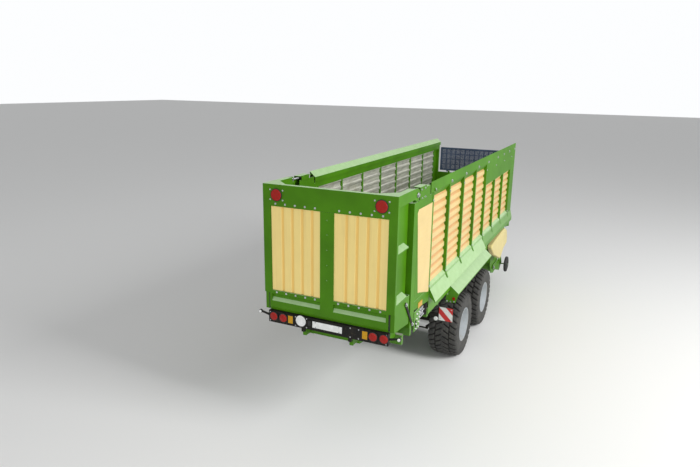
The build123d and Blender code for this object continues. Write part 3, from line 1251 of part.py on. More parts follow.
save("bogie_springs", *build_springs())
save("front_axle", build_front_axle())
save("rear_axle", build_rear_axle())
knuckle = build_knuckle()
save("knuckle_left", knuckle)
save("knuckle_right", mirrored(knuckle))
save("tie_rod", build_tie_rod())
save("rotor_housing", build_housing())
save("feed_rotor", build_rotor())
save("pickup_frame", build_pickup_frame())
save("pickup_reel", build_reel())
save("drive_covers", *both(build_cover()))
save("gearbox", build_gearbox())
save("drawbar", build_drawbar())
save("jack_leg", build_jack_leg())
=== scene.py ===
"""Looks of a tandem loader wagon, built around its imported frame.

Places are written in millimetres from the tailgate's rear plane, as on the wagon's drawing, and
Site turns them into metres of the frame: +X forward, +Y left, +Z up, origin below the middle.
"""

from __future__ import annotations

import json
import logging
import math
from dataclasses import dataclass
from enum import Enum
from typing import Callable, Iterable, Sequence

import bpy
from mathutils import Matrix, Vector

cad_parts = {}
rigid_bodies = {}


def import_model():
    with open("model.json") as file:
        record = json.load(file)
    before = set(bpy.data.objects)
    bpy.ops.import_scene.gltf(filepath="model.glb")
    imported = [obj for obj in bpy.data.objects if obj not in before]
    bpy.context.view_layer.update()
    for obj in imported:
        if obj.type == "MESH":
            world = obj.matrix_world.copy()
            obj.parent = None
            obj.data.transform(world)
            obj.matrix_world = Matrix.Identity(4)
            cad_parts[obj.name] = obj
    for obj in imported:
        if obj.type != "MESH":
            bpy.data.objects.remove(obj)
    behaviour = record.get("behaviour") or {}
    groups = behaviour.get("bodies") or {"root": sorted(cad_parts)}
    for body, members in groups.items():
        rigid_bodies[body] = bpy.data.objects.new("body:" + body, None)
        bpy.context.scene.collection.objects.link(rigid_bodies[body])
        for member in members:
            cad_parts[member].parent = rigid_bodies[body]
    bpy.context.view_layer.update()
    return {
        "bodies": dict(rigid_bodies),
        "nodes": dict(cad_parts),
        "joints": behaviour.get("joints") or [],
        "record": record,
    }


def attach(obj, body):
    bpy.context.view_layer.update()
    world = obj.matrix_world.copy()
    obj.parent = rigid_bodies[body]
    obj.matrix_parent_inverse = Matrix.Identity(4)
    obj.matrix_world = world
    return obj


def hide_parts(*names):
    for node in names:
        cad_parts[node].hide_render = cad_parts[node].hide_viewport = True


log = logging.getLogger("loader_wagon")

Colour = tuple[float, float, float, float]
Pair = tuple[float, float]
Outline = tuple[Pair, ...]
Piece = bpy.types.Object

TURN = 2.0 * math.pi
FORWARD = Vector((1.0, 0.0, 0.0))
BACKWARD = Vector((-1.0, 0.0, 0.0))
UP = Vector((0.0, 0.0, 1.0))

REAR_PLANE_X = -5.608
WALL_Y = 1118
FIRST_POST_X = 1600
POST_WIDTH = 60
BAY_PITCH = 987
TRACK_HALF = 975
WHEEL_RADIUS = 667


class Site:
    """Places of the wagon in the frame."""

    @staticmethod
    def at(x: float, y: float, z: float) -> Vector:
        """Return a drawing place, in millimetres, as a place of the frame in metres."""
        return Vector((x / 1000.0 + REAR_PLANE_X, y / 1000.0, z / 1000.0))

    @staticmethod
    def post(index: int) -> float:
        """Return the drawing place of a side post's rear edge."""
        return FIRST_POST_X + BAY_PITCH * index


class Side(Enum):
    """The wagon's two sides, by their sign across the width."""

    RIGHT = -1.0
    LEFT = 1.0

    def named(self, piece: str) -> str:
        """Return the name of a piece on this side."""
        return f"{piece}_{self.name.lower()}"

    def at(self, x: float, out: float, z: float) -> Vector:
        """Return a drawing place, with its distance out from the middle, in the frame."""
        return Site.at(x, self.value * out, z)

    def outward(self) -> Vector:
        """Return the direction away from the wagon's middle."""
        return Vector((0.0, self.value, 0.0))


class Axis(Enum):
    """The axis of a plug, by the turn that lays an upright plug along it."""

    X = (0.0, math.pi / 2.0, 0.0)
    Y = (math.pi / 2.0, 0.0, 0.0)
    Z = (0.0, 0.0, 0.0)


class Axle(Enum):
    """The two axles, by their drawing places along the wagon."""

    FRONT = 5578
    REAR = 3788


class Body(Enum):
    """Bodies of the frame that new pieces ride on."""

    WAGON = "wagon"
    TAILGATE = "tailgate"
    PICKUP = "pickup"
    DRAWBAR = "drawbar"
    HEADBOARD = "headboard"
    WHEEL_FRONT_RIGHT = "wheel_front_right"
    WHEEL_FRONT_LEFT = "wheel_front_left"
    WHEEL_REAR_RIGHT = "wheel_rear_right"
    WHEEL_REAR_LEFT = "wheel_rear_left"


# ---- Materials ----


def srgb(red: int, green: int, blue: int) -> Colour:
    """Turn a colour as a screen shows it into linear light.

    Args:
        red: Red from 0 to 255.
        green: Green from 0 to 255.
        blue: Blue from 0 to 255.

    Returns:
        Linear red, green and blue, with an alpha of one.
    """

    def linear(level: int) -> float:
        """Return one channel in linear light."""
        share = level / 255.0
        return share / 12.92 if share <= 0.04045 else ((share + 0.055) / 1.055) ** 2.4

    return (linear(red), linear(green), linear(blue), 1.0)


def toned(colour: Colour, factor: float, lift: float = 0.0) -> Colour:
    """Return a colour made deeper or paler by a factor, no brighter than white."""
    return tuple(min(1.0, level * factor + lift) for level in colour[:3]) + (1.0,)


ENAMEL_GREEN = srgb(72, 127, 12)
ENAMEL_BEIGE = srgb(216, 200, 134)
# Pale green that faces looking up are mixed towards: a painted reflection of the sky.
SKY_SHEEN_GREEN = srgb(178, 209, 158)
SHEET = srgb(206, 206, 192)
DUST = srgb(150, 132, 98)


class Board:
    """A material's node tree, with short calls for the nodes that the finishes share."""

    def __init__(self, name: str) -> None:
        """Start an empty material with a surface shader.

        Args:
            name: Name of the material.
        """
        self.material = bpy.data.materials.new(name)
        self.material.use_nodes = True
        self.tree = self.material.node_tree
        self.shader = self.tree.nodes["Principled BSDF"]
        self.place = self.add("ShaderNodeTexCoord").outputs["Object"]

    def add(self, kind: str, inputs: dict | None = None, **settings: object) -> bpy.types.Node:
        """Add a node, set its plain properties and feed its inputs.

        Args:
            kind: Blender's name of the node type.
            inputs: Numbers, colours or other nodes' outputs, by the input's name or place.
            **settings: Properties by name.

        Returns:
            The new node.
        """
        node = self.tree.nodes.new(kind)
        for key, value in settings.items():
            setattr(node, key, value)
        self.feed(node, inputs or {})
        return node

    def feed(self, node: bpy.types.Node, inputs: dict) -> None:
        """Give a node's inputs numbers, colours or other nodes' outputs.

        Args:
            node: The node.
            inputs: What they take, by the input's name or place.
        """
        for key, value in inputs.items():
            if isinstance(value, bpy.types.NodeSocket):
                self.tree.links.new(value, node.inputs[key])
            else:
                node.inputs[key].default_value = value

    def noise(self, scale: float, detail: float, rough: float = 0.55,
              stretch: Sequence[float] = (1.0, 1.0, 1.0)) -> object:
        """Add a noise on Object coordinates.

        Args:
            scale: Spots per metre.
            detail: Octaves.
            rough: Strength of the finer octaves.
            stretch: Scale along each axis.

        Returns:
            The noise, from 0 to 1.
        """
        place = self.add("ShaderNodeMapping", {"Vector": self.place, "Scale": stretch}).outputs[0]
        return self.add("ShaderNodeTexNoise", {"Vector": place, "Scale": scale, "Detail": detail,
                                               "Roughness": rough}).outputs["Fac"]

    def ramp(self, value: object, low: float, high: float, start: float = 0.0,
             end: float = 1.0) -> object:
        """Spread a value from low and high to start and end, without leaving these."""
        inputs = dict(enumerate((value, low, high, start, end)))
        return self.add("ShaderNodeMapRange", inputs).outputs[0]

    def math(self, kind: str, first: object, second: object = 0.0) -> object:
        """Combine two values by an operation."""
        return self.add("ShaderNodeMath", {0: first, 1: second}, operation=kind).outputs[0]

    def plus(self, first: object, second: object) -> object:
        """Add two values."""
        return self.math("ADD", first, second)

    def times(self, first: object, second: object) -> object:
        """Multiply two values."""
        return self.math("MULTIPLY", first, second)

    def mix(self, share: object, first: object, second: object) -> object:
        """Mix two colours, with a share of the second."""
        inputs = {0: share, 6: first, 7: second}
        return self.add("ShaderNodeMix", inputs, data_type="RGBA").outputs[2]

    def parts(self, vector: object) -> Sequence[object]:
        """Split a vector into its three parts."""
        return self.add("ShaderNodeSeparateXYZ", {0: vector}).outputs

    def axes(self) -> Sequence[object]:
        """Return the place's three coordinates, in metres."""
        return self.parts(self.place)

    def facing(self) -> Sequence[object]:
        """Return the three parts of the direction in which the surface faces."""
        return self.parts(self.add("ShaderNodeTexCoord").outputs["Normal"])

    def bump(self, value: object, strength: float, depth: float) -> None:
        """Raise the surface by a pattern, to a depth in metres."""
        inputs = {"Strength": strength, "Distance": depth, "Height": value}
        self.set(Normal=self.add("ShaderNodeBump", inputs).outputs["Normal"])

    def set(self, **sockets: object) -> None:
        """Feed the shader's sockets by name; underscores stand for spaces."""
        self.feed(self.shader, {name.replace("_", " "): value for name, value in sockets.items()})


@dataclass(frozen=True)
class Paint:
    """Sprayed enamel with a little unevenness, dust that settles low down, fine scratches, and a
    painted sky reflection on faces that look up.
    """

    name: str
    colour: Colour
    roughness: float = 0.32
    coat: float = 0.5
    dust: float = 0.35
    tone: float = 0.16
    # Share of painted sky reflection on faces that look up.
    sky_sheen: float = 0.0

    def build(self) -> bpy.types.Material:
        """Make the material.

        Returns:
            The finished material.
        """
        board = Board(self.name)
        cloud = board.ramp(board.noise(1.7, 5.0), 0.35, 0.65)
        deep, pale = toned(self.colour, 1.0 - self.tone * 1.4), toned(self.colour, 1.0 + self.tone)
        paint = board.mix(cloud, deep, pale)
        low = board.ramp(board.axes()[2], 0.3, 2.6, 1.0, 0.16)
        film = board.ramp(board.noise(55.0, 3.0), 0.5, 0.72)
        streak = board.ramp(board.noise(9.0, 4.0, 0.6, (1.0, 1.0, 0.16)), 0.56, 0.78)
        dirt = board.plus(*(board.times(board.times(soil, low), self.dust)
                            for soil in (film, streak)))
        # Painted reflection: faces that look up are paled towards the sky's pale green.
        if self.sky_sheen:
            paint = self.painted_sky_sheen(board, paint)
        board.set(Base_Color=board.mix(dirt, paint, DUST), Specular_IOR_Level=0.16)
        board.set(Coat_Weight=self.coat, Coat_Roughness=0.08)
        board.set(Roughness=board.plus(self.roughness, board.times(dirt, 0.5)))
        board.bump(board.noise(160.0, 2.0), 0.12, 0.0006)
        return board.material

    def painted_sky_sheen(self, board: Board, paint: object) -> object:
        """Pale the paint where it looks up, as a painted reflection of the sky.

        Args:
            board: The material that is being made.
            paint: The paint's colour.

        Returns:
            The mixed colour's socket.
        """
        upward = board.ramp(board.facing()[2], 0.14, 0.5)
        patchy = board.ramp(board.noise(7.0, 5.0, 0.6), 0.3, 0.7, 0.82, 1.0)
        share = board.times(board.times(upward, patchy), self.sky_sheen)
        return board.mix(share, paint, SKY_SHEEN_GREEN)


@dataclass(frozen=True)
class Ribbed:
    """Beige enamel on the tailgate's ribbed sheets, with painted shade deepening the valleys."""

    name: str
    colour: Colour
    valley_shade: Colour
    ridge_x: float = REAR_PLANE_X + 0.016
    valley_x: float = REAR_PLANE_X + 0.028

    def build(self) -> bpy.types.Material:
        """Make the material.

        Returns:
            The finished material.
        """
        board = Board(self.name)
        cloud = board.ramp(board.noise(2.6, 5.0), 0.35, 0.65, 0.0, 0.3)
        paint = board.mix(cloud, self.colour, toned(self.colour, 0.86))
        # Painted shade: the beige deepens towards the valleys, the further back the place lies.
        depth = board.ramp(board.axes()[0], self.ridge_x, self.valley_x)
        paint = board.mix(depth, paint, self.valley_shade)
        rain = board.ramp(board.noise(16.0, 4.0, 0.6, (1.0, 1.0, 0.05)), 0.5, 0.8, 0.0, 0.22)
        board.set(Base_Color=board.mix(rain, paint, srgb(196, 160, 96)), Roughness=0.42)
        board.set(Specular_IOR_Level=0.3, Coat_Weight=0.1, Coat_Roughness=0.2)
        board.bump(board.noise(160.0, 2.0), 0.12, 0.0006)
        return board.material


@dataclass(frozen=True)
class Lining:
    """Enamel outside, with painted shade deepening its valleys, and bare sheet, pale and scratched
    along, on the side that the load rubs.
    """

    name: str
    colour: Colour
    upward: bool = False
    valley_shade: Colour | None = None
    valley_y: float = 1.049
    ridge_y: float = 1.068

    def build(self) -> bpy.types.Material:
        """Make the material.

        Returns:
            The finished material.
        """
        board = Board(self.name)
        facing = board.facing()
        if self.upward:
            rubbed = board.ramp(facing[2], 0.7, 0.85)
        else:
            rubbed = board.ramp(board.times(facing[1], board.axes()[1]), -0.25, 0.0, 1.0, 0.0)
        cloud = board.ramp(board.noise(1.7, 5.0), 0.35, 0.65)
        paint = board.mix(cloud, toned(self.colour, 0.9), self.colour)
        # Painted shade: the sheet deepens towards its valleys, the nearer the middle the place
        # lies.
        if self.valley_shade:
            out = board.math("ABSOLUTE", board.axes()[1])
            depth = board.ramp(out, self.valley_y, self.ridge_y, 1.0, 0.0)
            paint = board.mix(depth, paint, self.valley_shade)
        dust = board.times(board.ramp(board.noise(48.0, 3.0), 0.52, 0.75), 0.12)
        scratch = board.noise(26.0, 6.0, 0.62, (0.12, 1.0, 1.0))
        bare = board.mix(board.ramp(scratch, 0.36, 0.66), toned(SHEET, 0.62), SHEET)
        stain = board.ramp(board.noise(3.2, 6.0, 0.66), 0.54, 0.7)
        bare = board.mix(board.times(stain, 0.4), bare, srgb(120, 112, 62))
        board.set(Base_Color=board.mix(rubbed, board.mix(dust, paint, DUST), bare))
        board.set(Metallic=board.times(rubbed, 0.35), Coat_Weight=0.08, Specular_IOR_Level=0.3)
        board.set(Roughness=board.plus(board.times(scratch, 0.3), 0.28))
        board.bump(scratch, 0.1, 0.0005)
        return board.material


@dataclass(frozen=True)
class Tread:
    """Rubber with ground-in dust, and painted shade in the bottoms of the tread's grooves; lengths
    in metres.
    """

    name: str
    colour: Colour
    dust: float
    crown_flat: float = 0.10
    crown_edge: float = 0.266
    crown_fall: float = 0.019
    groove_floor: float = 0.650
    block_foot: float = 0.660

    def build(self) -> bpy.types.Material:
        """Make the material.

        Returns:
            The finished material.
        """
        board = Board(self.name)
        cloud = board.ramp(board.noise(5.0, 5.0), 0.35, 0.7)
        base = board.mix(cloud, self.colour, srgb(62, 62, 60))
        worn = board.ramp(board.noise(26.0, 6.0, 0.65), 0.42, 0.7)
        rubber = board.mix(board.times(worn, self.dust), base, srgb(104, 99, 91))
        # Painted shade darkens the grooves' bottoms to near black.
        board.set(Base_Color=board.mix(self.groove_shade(board), rubber, srgb(24, 22, 20)))
        board.set(Roughness=0.82)
        board.bump(board.noise(220.0, 4.0), 0.35, 0.0015)
        return board.material

    def groove_shade(self, board: Board) -> object:
        """Say how deep in a wheel's tread a place lies, from the axles' places, as the share of
        painted shade.

        Args:
            board: The material that is being made.

        Returns:
            Nearly one at the bottom of a groove, zero on the blocks and the flanks.
        """
        middle = Site.at((Axle.FRONT.value + Axle.REAR.value) / 2.0, 0.0, 0.0).x
        base = (Axle.FRONT.value - Axle.REAR.value) / 2000.0
        x, y, z = board.axes()
        along = board.math("SUBTRACT", board.math("ABSOLUTE", board.plus(x, -middle)), base)
        up = board.math("SUBTRACT", z, WHEEL_RADIUS / 1000.0)
        reach = board.math("SQRT", board.plus(board.times(along, along), board.times(up, up)))
        out = board.math("SUBTRACT", board.math("ABSOLUTE", y), TRACK_HALF / 1000.0)
        across = board.math("ABSOLUTE", out)
        fall = board.math("POWER", board.ramp(across, self.crown_flat, self.crown_edge), 2.0)
        round_reach = board.plus(reach, board.times(fall, self.crown_fall))
        deep = board.ramp(round_reach, self.groove_floor, self.block_foot, 0.94, 0.0)
        inside = board.ramp(across, self.crown_edge - 0.004, self.crown_edge + 0.014, 1.0, 0.0)
        return board.times(deep, inside)


@dataclass(frozen=True)
class Metal:
    """Bare, galvanised or plated metal with rubbed streaks."""

    name: str
    colour: Colour
    roughness: float
    rust: float = 0.0

    def build(self) -> bpy.types.Material:
        """Make the material.

        Returns:
            The finished material.
        """
        board = Board(self.name)
        rub = board.noise(14.0, 6.0, 0.6)
        colour = board.mix(board.ramp(rub, 0.35, 0.68), toned(self.colour, 0.72), self.colour)
        if self.rust:
            spots = board.ramp(board.noise(6.0, 6.0, 0.65), 0.56, 0.72)
            colour = board.mix(board.times(spots, self.rust), colour, srgb(116, 78, 48))
        board.set(Base_Color=colour, Metallic=0.9)
        board.set(Roughness=board.ramp(rub, 0.3, 0.7, self.roughness + 0.12, self.roughness - 0.06))
        board.bump(rub, 0.1, 0.0006)
        return board.material


@dataclass(frozen=True)
class Moulding:
    """Plastic, rubber seal or lamp housing."""

    name: str
    colour: Colour
    roughness: float

    def build(self) -> bpy.types.Material:
        """Make the material.

        Returns:
            The finished material.
        """
        board = Board(self.name)
        cloud = board.ramp(board.noise(12.0, 5.0), 0.45, 0.75)
        board.set(Base_Color=board.mix(cloud, self.colour, toned(self.colour, 1.25, 0.01)))
        board.set(Roughness=self.roughness)
        board.bump(board.noise(420.0, 2.0), 0.15, 0.0004)
        return board.material


@dataclass(frozen=True)
class Lens:
    """A clear coloured lens with moulded prisms behind a smooth face."""

    name: str
    colour: Colour
    prism: float = 0.009

    def build(self) -> bpy.types.Material:
        """Make the material.

        Returns:
            The finished material.
        """
        board = Board(self.name)
        waves = (board.math("SINE", board.times(axis, TURN / self.prism))
                 for axis in tuple(board.axes())[1:])
        grid = board.times(*(board.ramp(wave, -1.0, 1.0) for wave in waves))
        board.set(Base_Color=board.mix(grid, toned(self.colour, 0.45), self.colour), Roughness=0.26)
        board.set(Coat_Weight=0.1, Coat_Roughness=0.04, Specular_IOR_Level=0.3)
        board.bump(grid, 0.5, 0.0012)
        return board.material


@dataclass(frozen=True)
class Stripes:
    """Warning stripes at forty-five degrees, red and white, mirrored about the middle."""

    name: str
    period: float = 0.268

    def build(self) -> bpy.types.Material:
        """Make the material.

        Returns:
            The finished material.
        """
        board = Board(self.name)
        _, y, z = board.axes()
        slant = board.plus(board.math("ABSOLUTE", y), z)
        wave = board.math("FRACT", board.math("DIVIDE", slant, self.period))
        band = board.ramp(wave, 0.495, 0.505, 1.0, 0.0)
        colour = board.mix(band, srgb(206, 28, 26), srgb(236, 236, 232))
        grime = board.times(board.ramp(board.noise(30.0, 5.0), 0.52, 0.75), 0.35)
        board.set(Base_Color=board.mix(grime, colour, srgb(120, 108, 88)), Roughness=0.34)
        board.bump(board.noise(500.0, 1.0), 0.08, 0.0003)
        return board.material


class Finish(Enum):
    """The finishes of the wagon."""

    GREEN = Paint("green_enamel", ENAMEL_GREEN, 0.42, 0.0, 0.1, 0.1, 0.86)
    POST = Paint("post_green", ENAMEL_GREEN, 0.42, 0.0, 0.1, 0.1)
    FENDER = Paint("fender_green", srgb(80, 138, 24), 0.34, 0.08, 0.1, 0.08, 0.95)
    BEIGE = Paint("beige_enamel", ENAMEL_BEIGE, 0.4, 0.1, 0.08, 0.05)
    BLACK = Paint("black_enamel", srgb(26, 26, 25), 0.55, 0.0, 0.22)
    SILVER = Paint("silver_rim_paint", srgb(174, 180, 184), 0.34, 0.3, 0.4, 0.05)
    MESH = Paint("slate_mesh_paint", srgb(66, 78, 102), 0.46, 0.15, 0.25)
    # The rear sheets' beige is paler than the side sheets' beige though it is the same paint:
    # painted light that makes up for the weaker light on the rear face. Both valley colours are
    # painted shade.
    RIBBED = Ribbed("ribbed_gate_beige", srgb(252, 226, 144), srgb(246, 206, 116))
    SIDE_SHEET = Lining("side_sheet_beige", srgb(222, 196, 134), False, srgb(206, 160, 102))
    FLOOR = Lining("floor_green_and_bare", ENAMEL_GREEN, True)
    STEEL = Metal("bare_steel", srgb(136, 134, 128), 0.46, 0.5)
    ZINC = Metal("zinc_plate", srgb(206, 208, 210), 0.34)
    CHROME = Metal("chromed_rod", srgb(226, 228, 232), 0.14)
    TYRE = Tread("dusty_tread", srgb(46, 47, 47), 0.4)
    RUBBER = Moulding("moulded_rubber", srgb(24, 24, 24), 0.7)
    WHITE = Moulding("white_face", srgb(232, 234, 232), 0.36)
    RED = Lens("ribbed_red", srgb(204, 26, 6))
    AMBER = Lens("ribbed_amber", srgb(255, 192, 8))
    STRIPES = Stripes("warning_stripes")

    def material(self) -> bpy.types.Material:
        """Return this finish's material, made once."""
        return bpy.data.materials.get(self.value.name) or self.value.build()

    def cover(self, piece: Piece) -> None:
        """Give a piece this finish alone."""
        piece.data.materials.clear()
        piece.data.materials.append(self.material())


# ---- Modelling ----


class Bench:
    """Modelling steps that the sub-assemblies share, each done with Blender's own operators."""

    @staticmethod
    def clear() -> None:
        """Deselect everything."""
        if bpy.context.object and bpy.context.object.mode != "OBJECT":
            bpy.ops.object.mode_set(mode="OBJECT")
        bpy.ops.object.select_all(action="DESELECT")

    @staticmethod
    def hold(piece: Piece) -> None:
        """Select one piece alone and make it active.

        Args:
            piece: The piece.
        """
        Bench.clear()
        piece.select_set(True)
        bpy.context.view_layer.objects.active = piece

    @staticmethod
    def added(name: str) -> Piece:
        """Name the piece that was just added and put its place, turn and scale into its mesh.

        Args:
            name: Name of the piece.

        Returns:
            The piece.
        """
        piece = bpy.context.object
        piece.name = name
        Bench.hold(piece)
        bpy.ops.object.transform_apply(location=True, rotation=True, scale=True)
        return piece

    @staticmethod
    def rounded(piece: Piece, width: float, segments: int = 2, limit: float = 30.0) -> Piece:
        """Round a piece's edges, or leave them sharp where the width is zero.

        Args:
            piece: The piece to change.
            width: Width of the rounding, in metres.
            segments: Steps of the rounding.
            limit: Angle in degrees from which an edge is rounded.

        Returns:
            The same piece.
        """
        if width:
            Bench.hold(piece)
            bevel = piece.modifiers.new("bevel", "BEVEL")
            bevel.width, bevel.segments = width, segments
            bevel.limit_method, bevel.angle_limit = "ANGLE", math.radians(limit)
            bpy.ops.object.modifier_apply(modifier=bevel.name)
        return piece

    @staticmethod
    def smooth(piece: Piece, angle: float) -> None:
        """Shade smoothly where faces meet at less than an angle in degrees."""
        Bench.hold(piece)
        bpy.ops.object.shade_smooth_by_angle(angle=math.radians(angle))

    @staticmethod
    def block(name: str, low: Vector, high: Vector, bevel: float, segments: int = 2) -> Piece:
        """Make a box between two corners with rounded edges.

        Args:
            name: Name of the piece.
            low: Lowest corner.
            high: Highest corner.
            bevel: Width of the rounding, in metres.
            segments: Steps of the rounding.

        Returns:
            The new piece.
        """
        Bench.clear()
        bpy.ops.mesh.primitive_cube_add(size=1.0, location=(low + high) / 2.0)
        bpy.context.object.scale = tuple(abs(value) for value in high - low)
        return Bench.rounded(Bench.added(name), bevel, segments)

    @staticmethod
    def disc(name: str, centre: Vector, radius: float, depth: float, axis: Axis, sides: int,
             bevel: float = 0.0, segments: int = 2) -> Piece:
        """Make a round or hexagonal plug along an axis.

        Args:
            name: Name of the piece.
            centre: Middle of the plug.
            radius: Its radius.
            depth: Its length along the axis.
            axis: The direction in which it lies.
            sides: Number of sides.
            bevel: Width of the rounded rim.
            segments: Steps of the rounding.

        Returns:
            The new piece.
        """
        Bench.clear()
        bpy.ops.mesh.primitive_cylinder_add(vertices=sides, radius=radius, depth=depth,
                                            location=centre, rotation=axis.value)
        return Bench.rounded(Bench.added(name), bevel, segments)

    @staticmethod
    def bead(name: str, centre: Vector, radius: float, thick: float, around: int,
             section: int) -> Piece:
        """Make a smooth ring that faces along the wagon.

        Args:
            name: Name of the piece.
            centre: Middle of the ring.
            radius: Radius of the ring's line, in millimetres.
            thick: Radius of the ring itself, in millimetres.
            around: Steps round the ring.
            section: Steps round its section.

        Returns:
            The new piece.
        """
        Bench.clear()
        bpy.ops.mesh.primitive_torus_add(
            major_radius=radius / 1000.0, minor_radius=thick / 1000.0, major_segments=around,
            minor_segments=section, location=centre, rotation=Axis.X.value)
        piece = Bench.added(name)
        Bench.smooth(piece, 60.0)
        return piece

    @staticmethod
    def prism(name: str, corners: Sequence[Vector], push: Vector, bevel: float) -> Piece:
        """Extrude an outline.

        Args:
            name: Name of the piece.
            corners: The outline's corners in order.
            push: How far and in which direction it is extruded.
            bevel: Width of the rounded edges, in metres.

        Returns:
            The new piece.
        """
        Bench.clear()
        bpy.ops.mesh.primitive_circle_add(vertices=len(corners), radius=1.0, fill_type="NGON")
        piece = Bench.added(name)
        for point, corner in zip(piece.data.vertices, corners):
            point.co = corner
        bpy.ops.object.mode_set(mode="EDIT")
        bpy.ops.mesh.select_all(action="SELECT")
        bpy.ops.mesh.extrude_region_move(TRANSFORM_OT_translate={"value": push})
        Bench.close()
        return Bench.rounded(piece, bevel)

    @staticmethod
    def plate(name: str, outline: Outline, side: Side, near: float, far: float,
              bevel: float = 0.002) -> Piece:
        """Make a plate from its outline, along and up, between two places out from the middle."""
        corners = [side.at(x, near, z) for x, z in outline]
        return Bench.prism(name, corners, side.outward() * (far - near) / 1000.0, bevel)

    @staticmethod
    def ridge(name: str, outline: Outline, side: Side, start: float, end: float) -> Piece:
        """Make a bar from its outline, out from the middle and up, between two places along."""
        corners = [side.at(start, out, z) for out, z in outline]
        return Bench.prism(name, corners, FORWARD * ((end - start) / 1000.0), 0.001)

    @staticmethod
    def close() -> None:
        """Leave edit mode with every face of the piece looking outwards."""
        bpy.ops.mesh.select_all(action="SELECT")
        bpy.ops.mesh.normals_make_consistent(inside=False)
        bpy.ops.object.mode_set(mode="OBJECT")

    @staticmethod
    def turned(name: str, line: Sequence[Pair], centre: Vector, steps: int) -> Piece:
        """Spin an open line about an axis along the wagon's width, and close it between its ends.

        Args:
            name: Name of the piece.
            line: Points (place across, radius) in metres, in order round the section.
            centre: Middle of the turned piece.
            steps: Steps of the spin.

        Returns:
            The new piece.
        """
        Bench.clear()
        places = [centre + Vector((0.0, across, radius)) for across, radius in line]
        bpy.ops.mesh.primitive_plane_add(size=0.01, location=places[0])
        piece = Bench.added(name)
        bpy.ops.object.mode_set(mode="EDIT")
        bpy.ops.mesh.select_mode(type="VERT")
        bpy.ops.mesh.select_all(action="SELECT")
        bpy.ops.mesh.merge(type="CENTER")
        for start, end in zip(places, places[1:]):
            bpy.ops.mesh.extrude_region_move(TRANSFORM_OT_translate={"value": end - start})
        bpy.ops.mesh.select_all(action="DESELECT")
        bpy.ops.object.mode_set(mode="OBJECT")
        for end in (places[0], places[-1]):
            min(piece.data.vertices, key=lambda point: (point.co - end).length).select = True
        bpy.ops.object.mode_set(mode="EDIT")
        bpy.ops.mesh.edge_face_add()
        bpy.ops.mesh.select_all(action="SELECT")
        bpy.ops.mesh.spin(steps=steps, angle=TURN, center=centre, axis=(0.0, 1.0, 0.0))
        bpy.ops.mesh.select_all(action="SELECT")
        bpy.ops.mesh.remove_doubles(threshold=0.0001)
        Bench.close()
        return piece

    @staticmethod
    def copies(name: str, pattern: Piece, places: Iterable[Vector]) -> Piece:
        """Repeat a pattern piece, each copy with its own mesh, and join the copies to one piece.

        Args:
            name: Name of the joined piece.
            pattern: The piece to repeat, modelled at the frame's origin, which is used up.
            places: Where each copy goes.

        Returns:
            The joined piece.
        """
        made = []
        for place in places:
            copy = pattern.copy()
            copy.data = pattern.data.copy()
            bpy.context.scene.collection.objects.link(copy)
            copy.data.transform(Matrix.Translation(place))
            made.append(copy)
        bpy.data.objects.remove(pattern)
        return Bench.join(name, made)

    @staticmethod
    def join(name: str, parts: Sequence[Piece]) -> Piece:
        """Join pieces to one.

        Args:
            name: Name of the joined piece.
            parts: The pieces, which are used up.

        Returns:
            The joined piece.
        """
        Bench.clear()
        for part in parts:
            part.select_set(True)
        bpy.context.view_layer.objects.active = parts[0]
        if len(parts) > 1:
            bpy.ops.object.join()
        parts[0].name = name
        return parts[0]

    @staticmethod
    def pick(piece: Piece, keep: Callable[[bpy.types.MeshPolygon], bool]) -> None:
        """Select faces of a piece by their place or normal and go to edit mode.

        Args:
            piece: The piece.
            keep: Says whether a face is selected.
        """
        Bench.hold(piece)
        bpy.context.tool_settings.mesh_select_mode = (False, False, True)
        for element in (*piece.data.edges, *piece.data.vertices):
            element.select = False
        for face in piece.data.polygons:
            face.select = bool(keep(face))
        bpy.ops.object.mode_set(mode="EDIT")

    @staticmethod
    def dress(piece: Piece, finish: Finish, body: Body = Body.WAGON,
              slot: str | None = None) -> None:
        """Give a piece its finish and the body that it rides on.

        Args:
            piece: The piece.
            finish: Its finish.
            body: The body.
            slot: Not used.
        """
        finish.cover(piece)
        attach(piece, body.value)
        log.info("%s: %d faces on %s", piece.name, len(piece.data.polygons), body.value)


# ---- Sub-assemblies ----


@dataclass
class Fasteners:
    """Bolt heads or nuts on washers, modelled once for each size and direction, in metres."""

    across: float
    head: float

    def bolt(self, name: str, normal: Vector) -> Piece:
        """Make one hexagon head on its washer at the frame's origin.

        Args:
            name: Name of the pattern.
            normal: The direction in which the head points.

        Returns:
            The pattern piece.
        """
        washer = Bench.disc(name, UP * 0.0015, self.across * 0.78, 0.005, Axis.Z, 16, 0.0008, 1)
        head = Bench.disc(name, UP * (0.004 + self.head / 2), self.across * 0.58, self.head,
                          Axis.Z, 6, 0.0015, 1)
        piece = Bench.join(name, [washer, head])
        piece.data.transform(UP.rotation_difference(normal).to_matrix().to_4x4())
        return piece

    def set(self, name: str, normal: Vector, places: Iterable[Vector],
            body: Body = Body.WAGON, finish: Finish = Finish.ZINC) -> None:
        """Set bolts at places of the frame and dress them as one piece."""
        Bench.dress(Bench.copies(name, self.bolt(name, normal), places), finish, body)


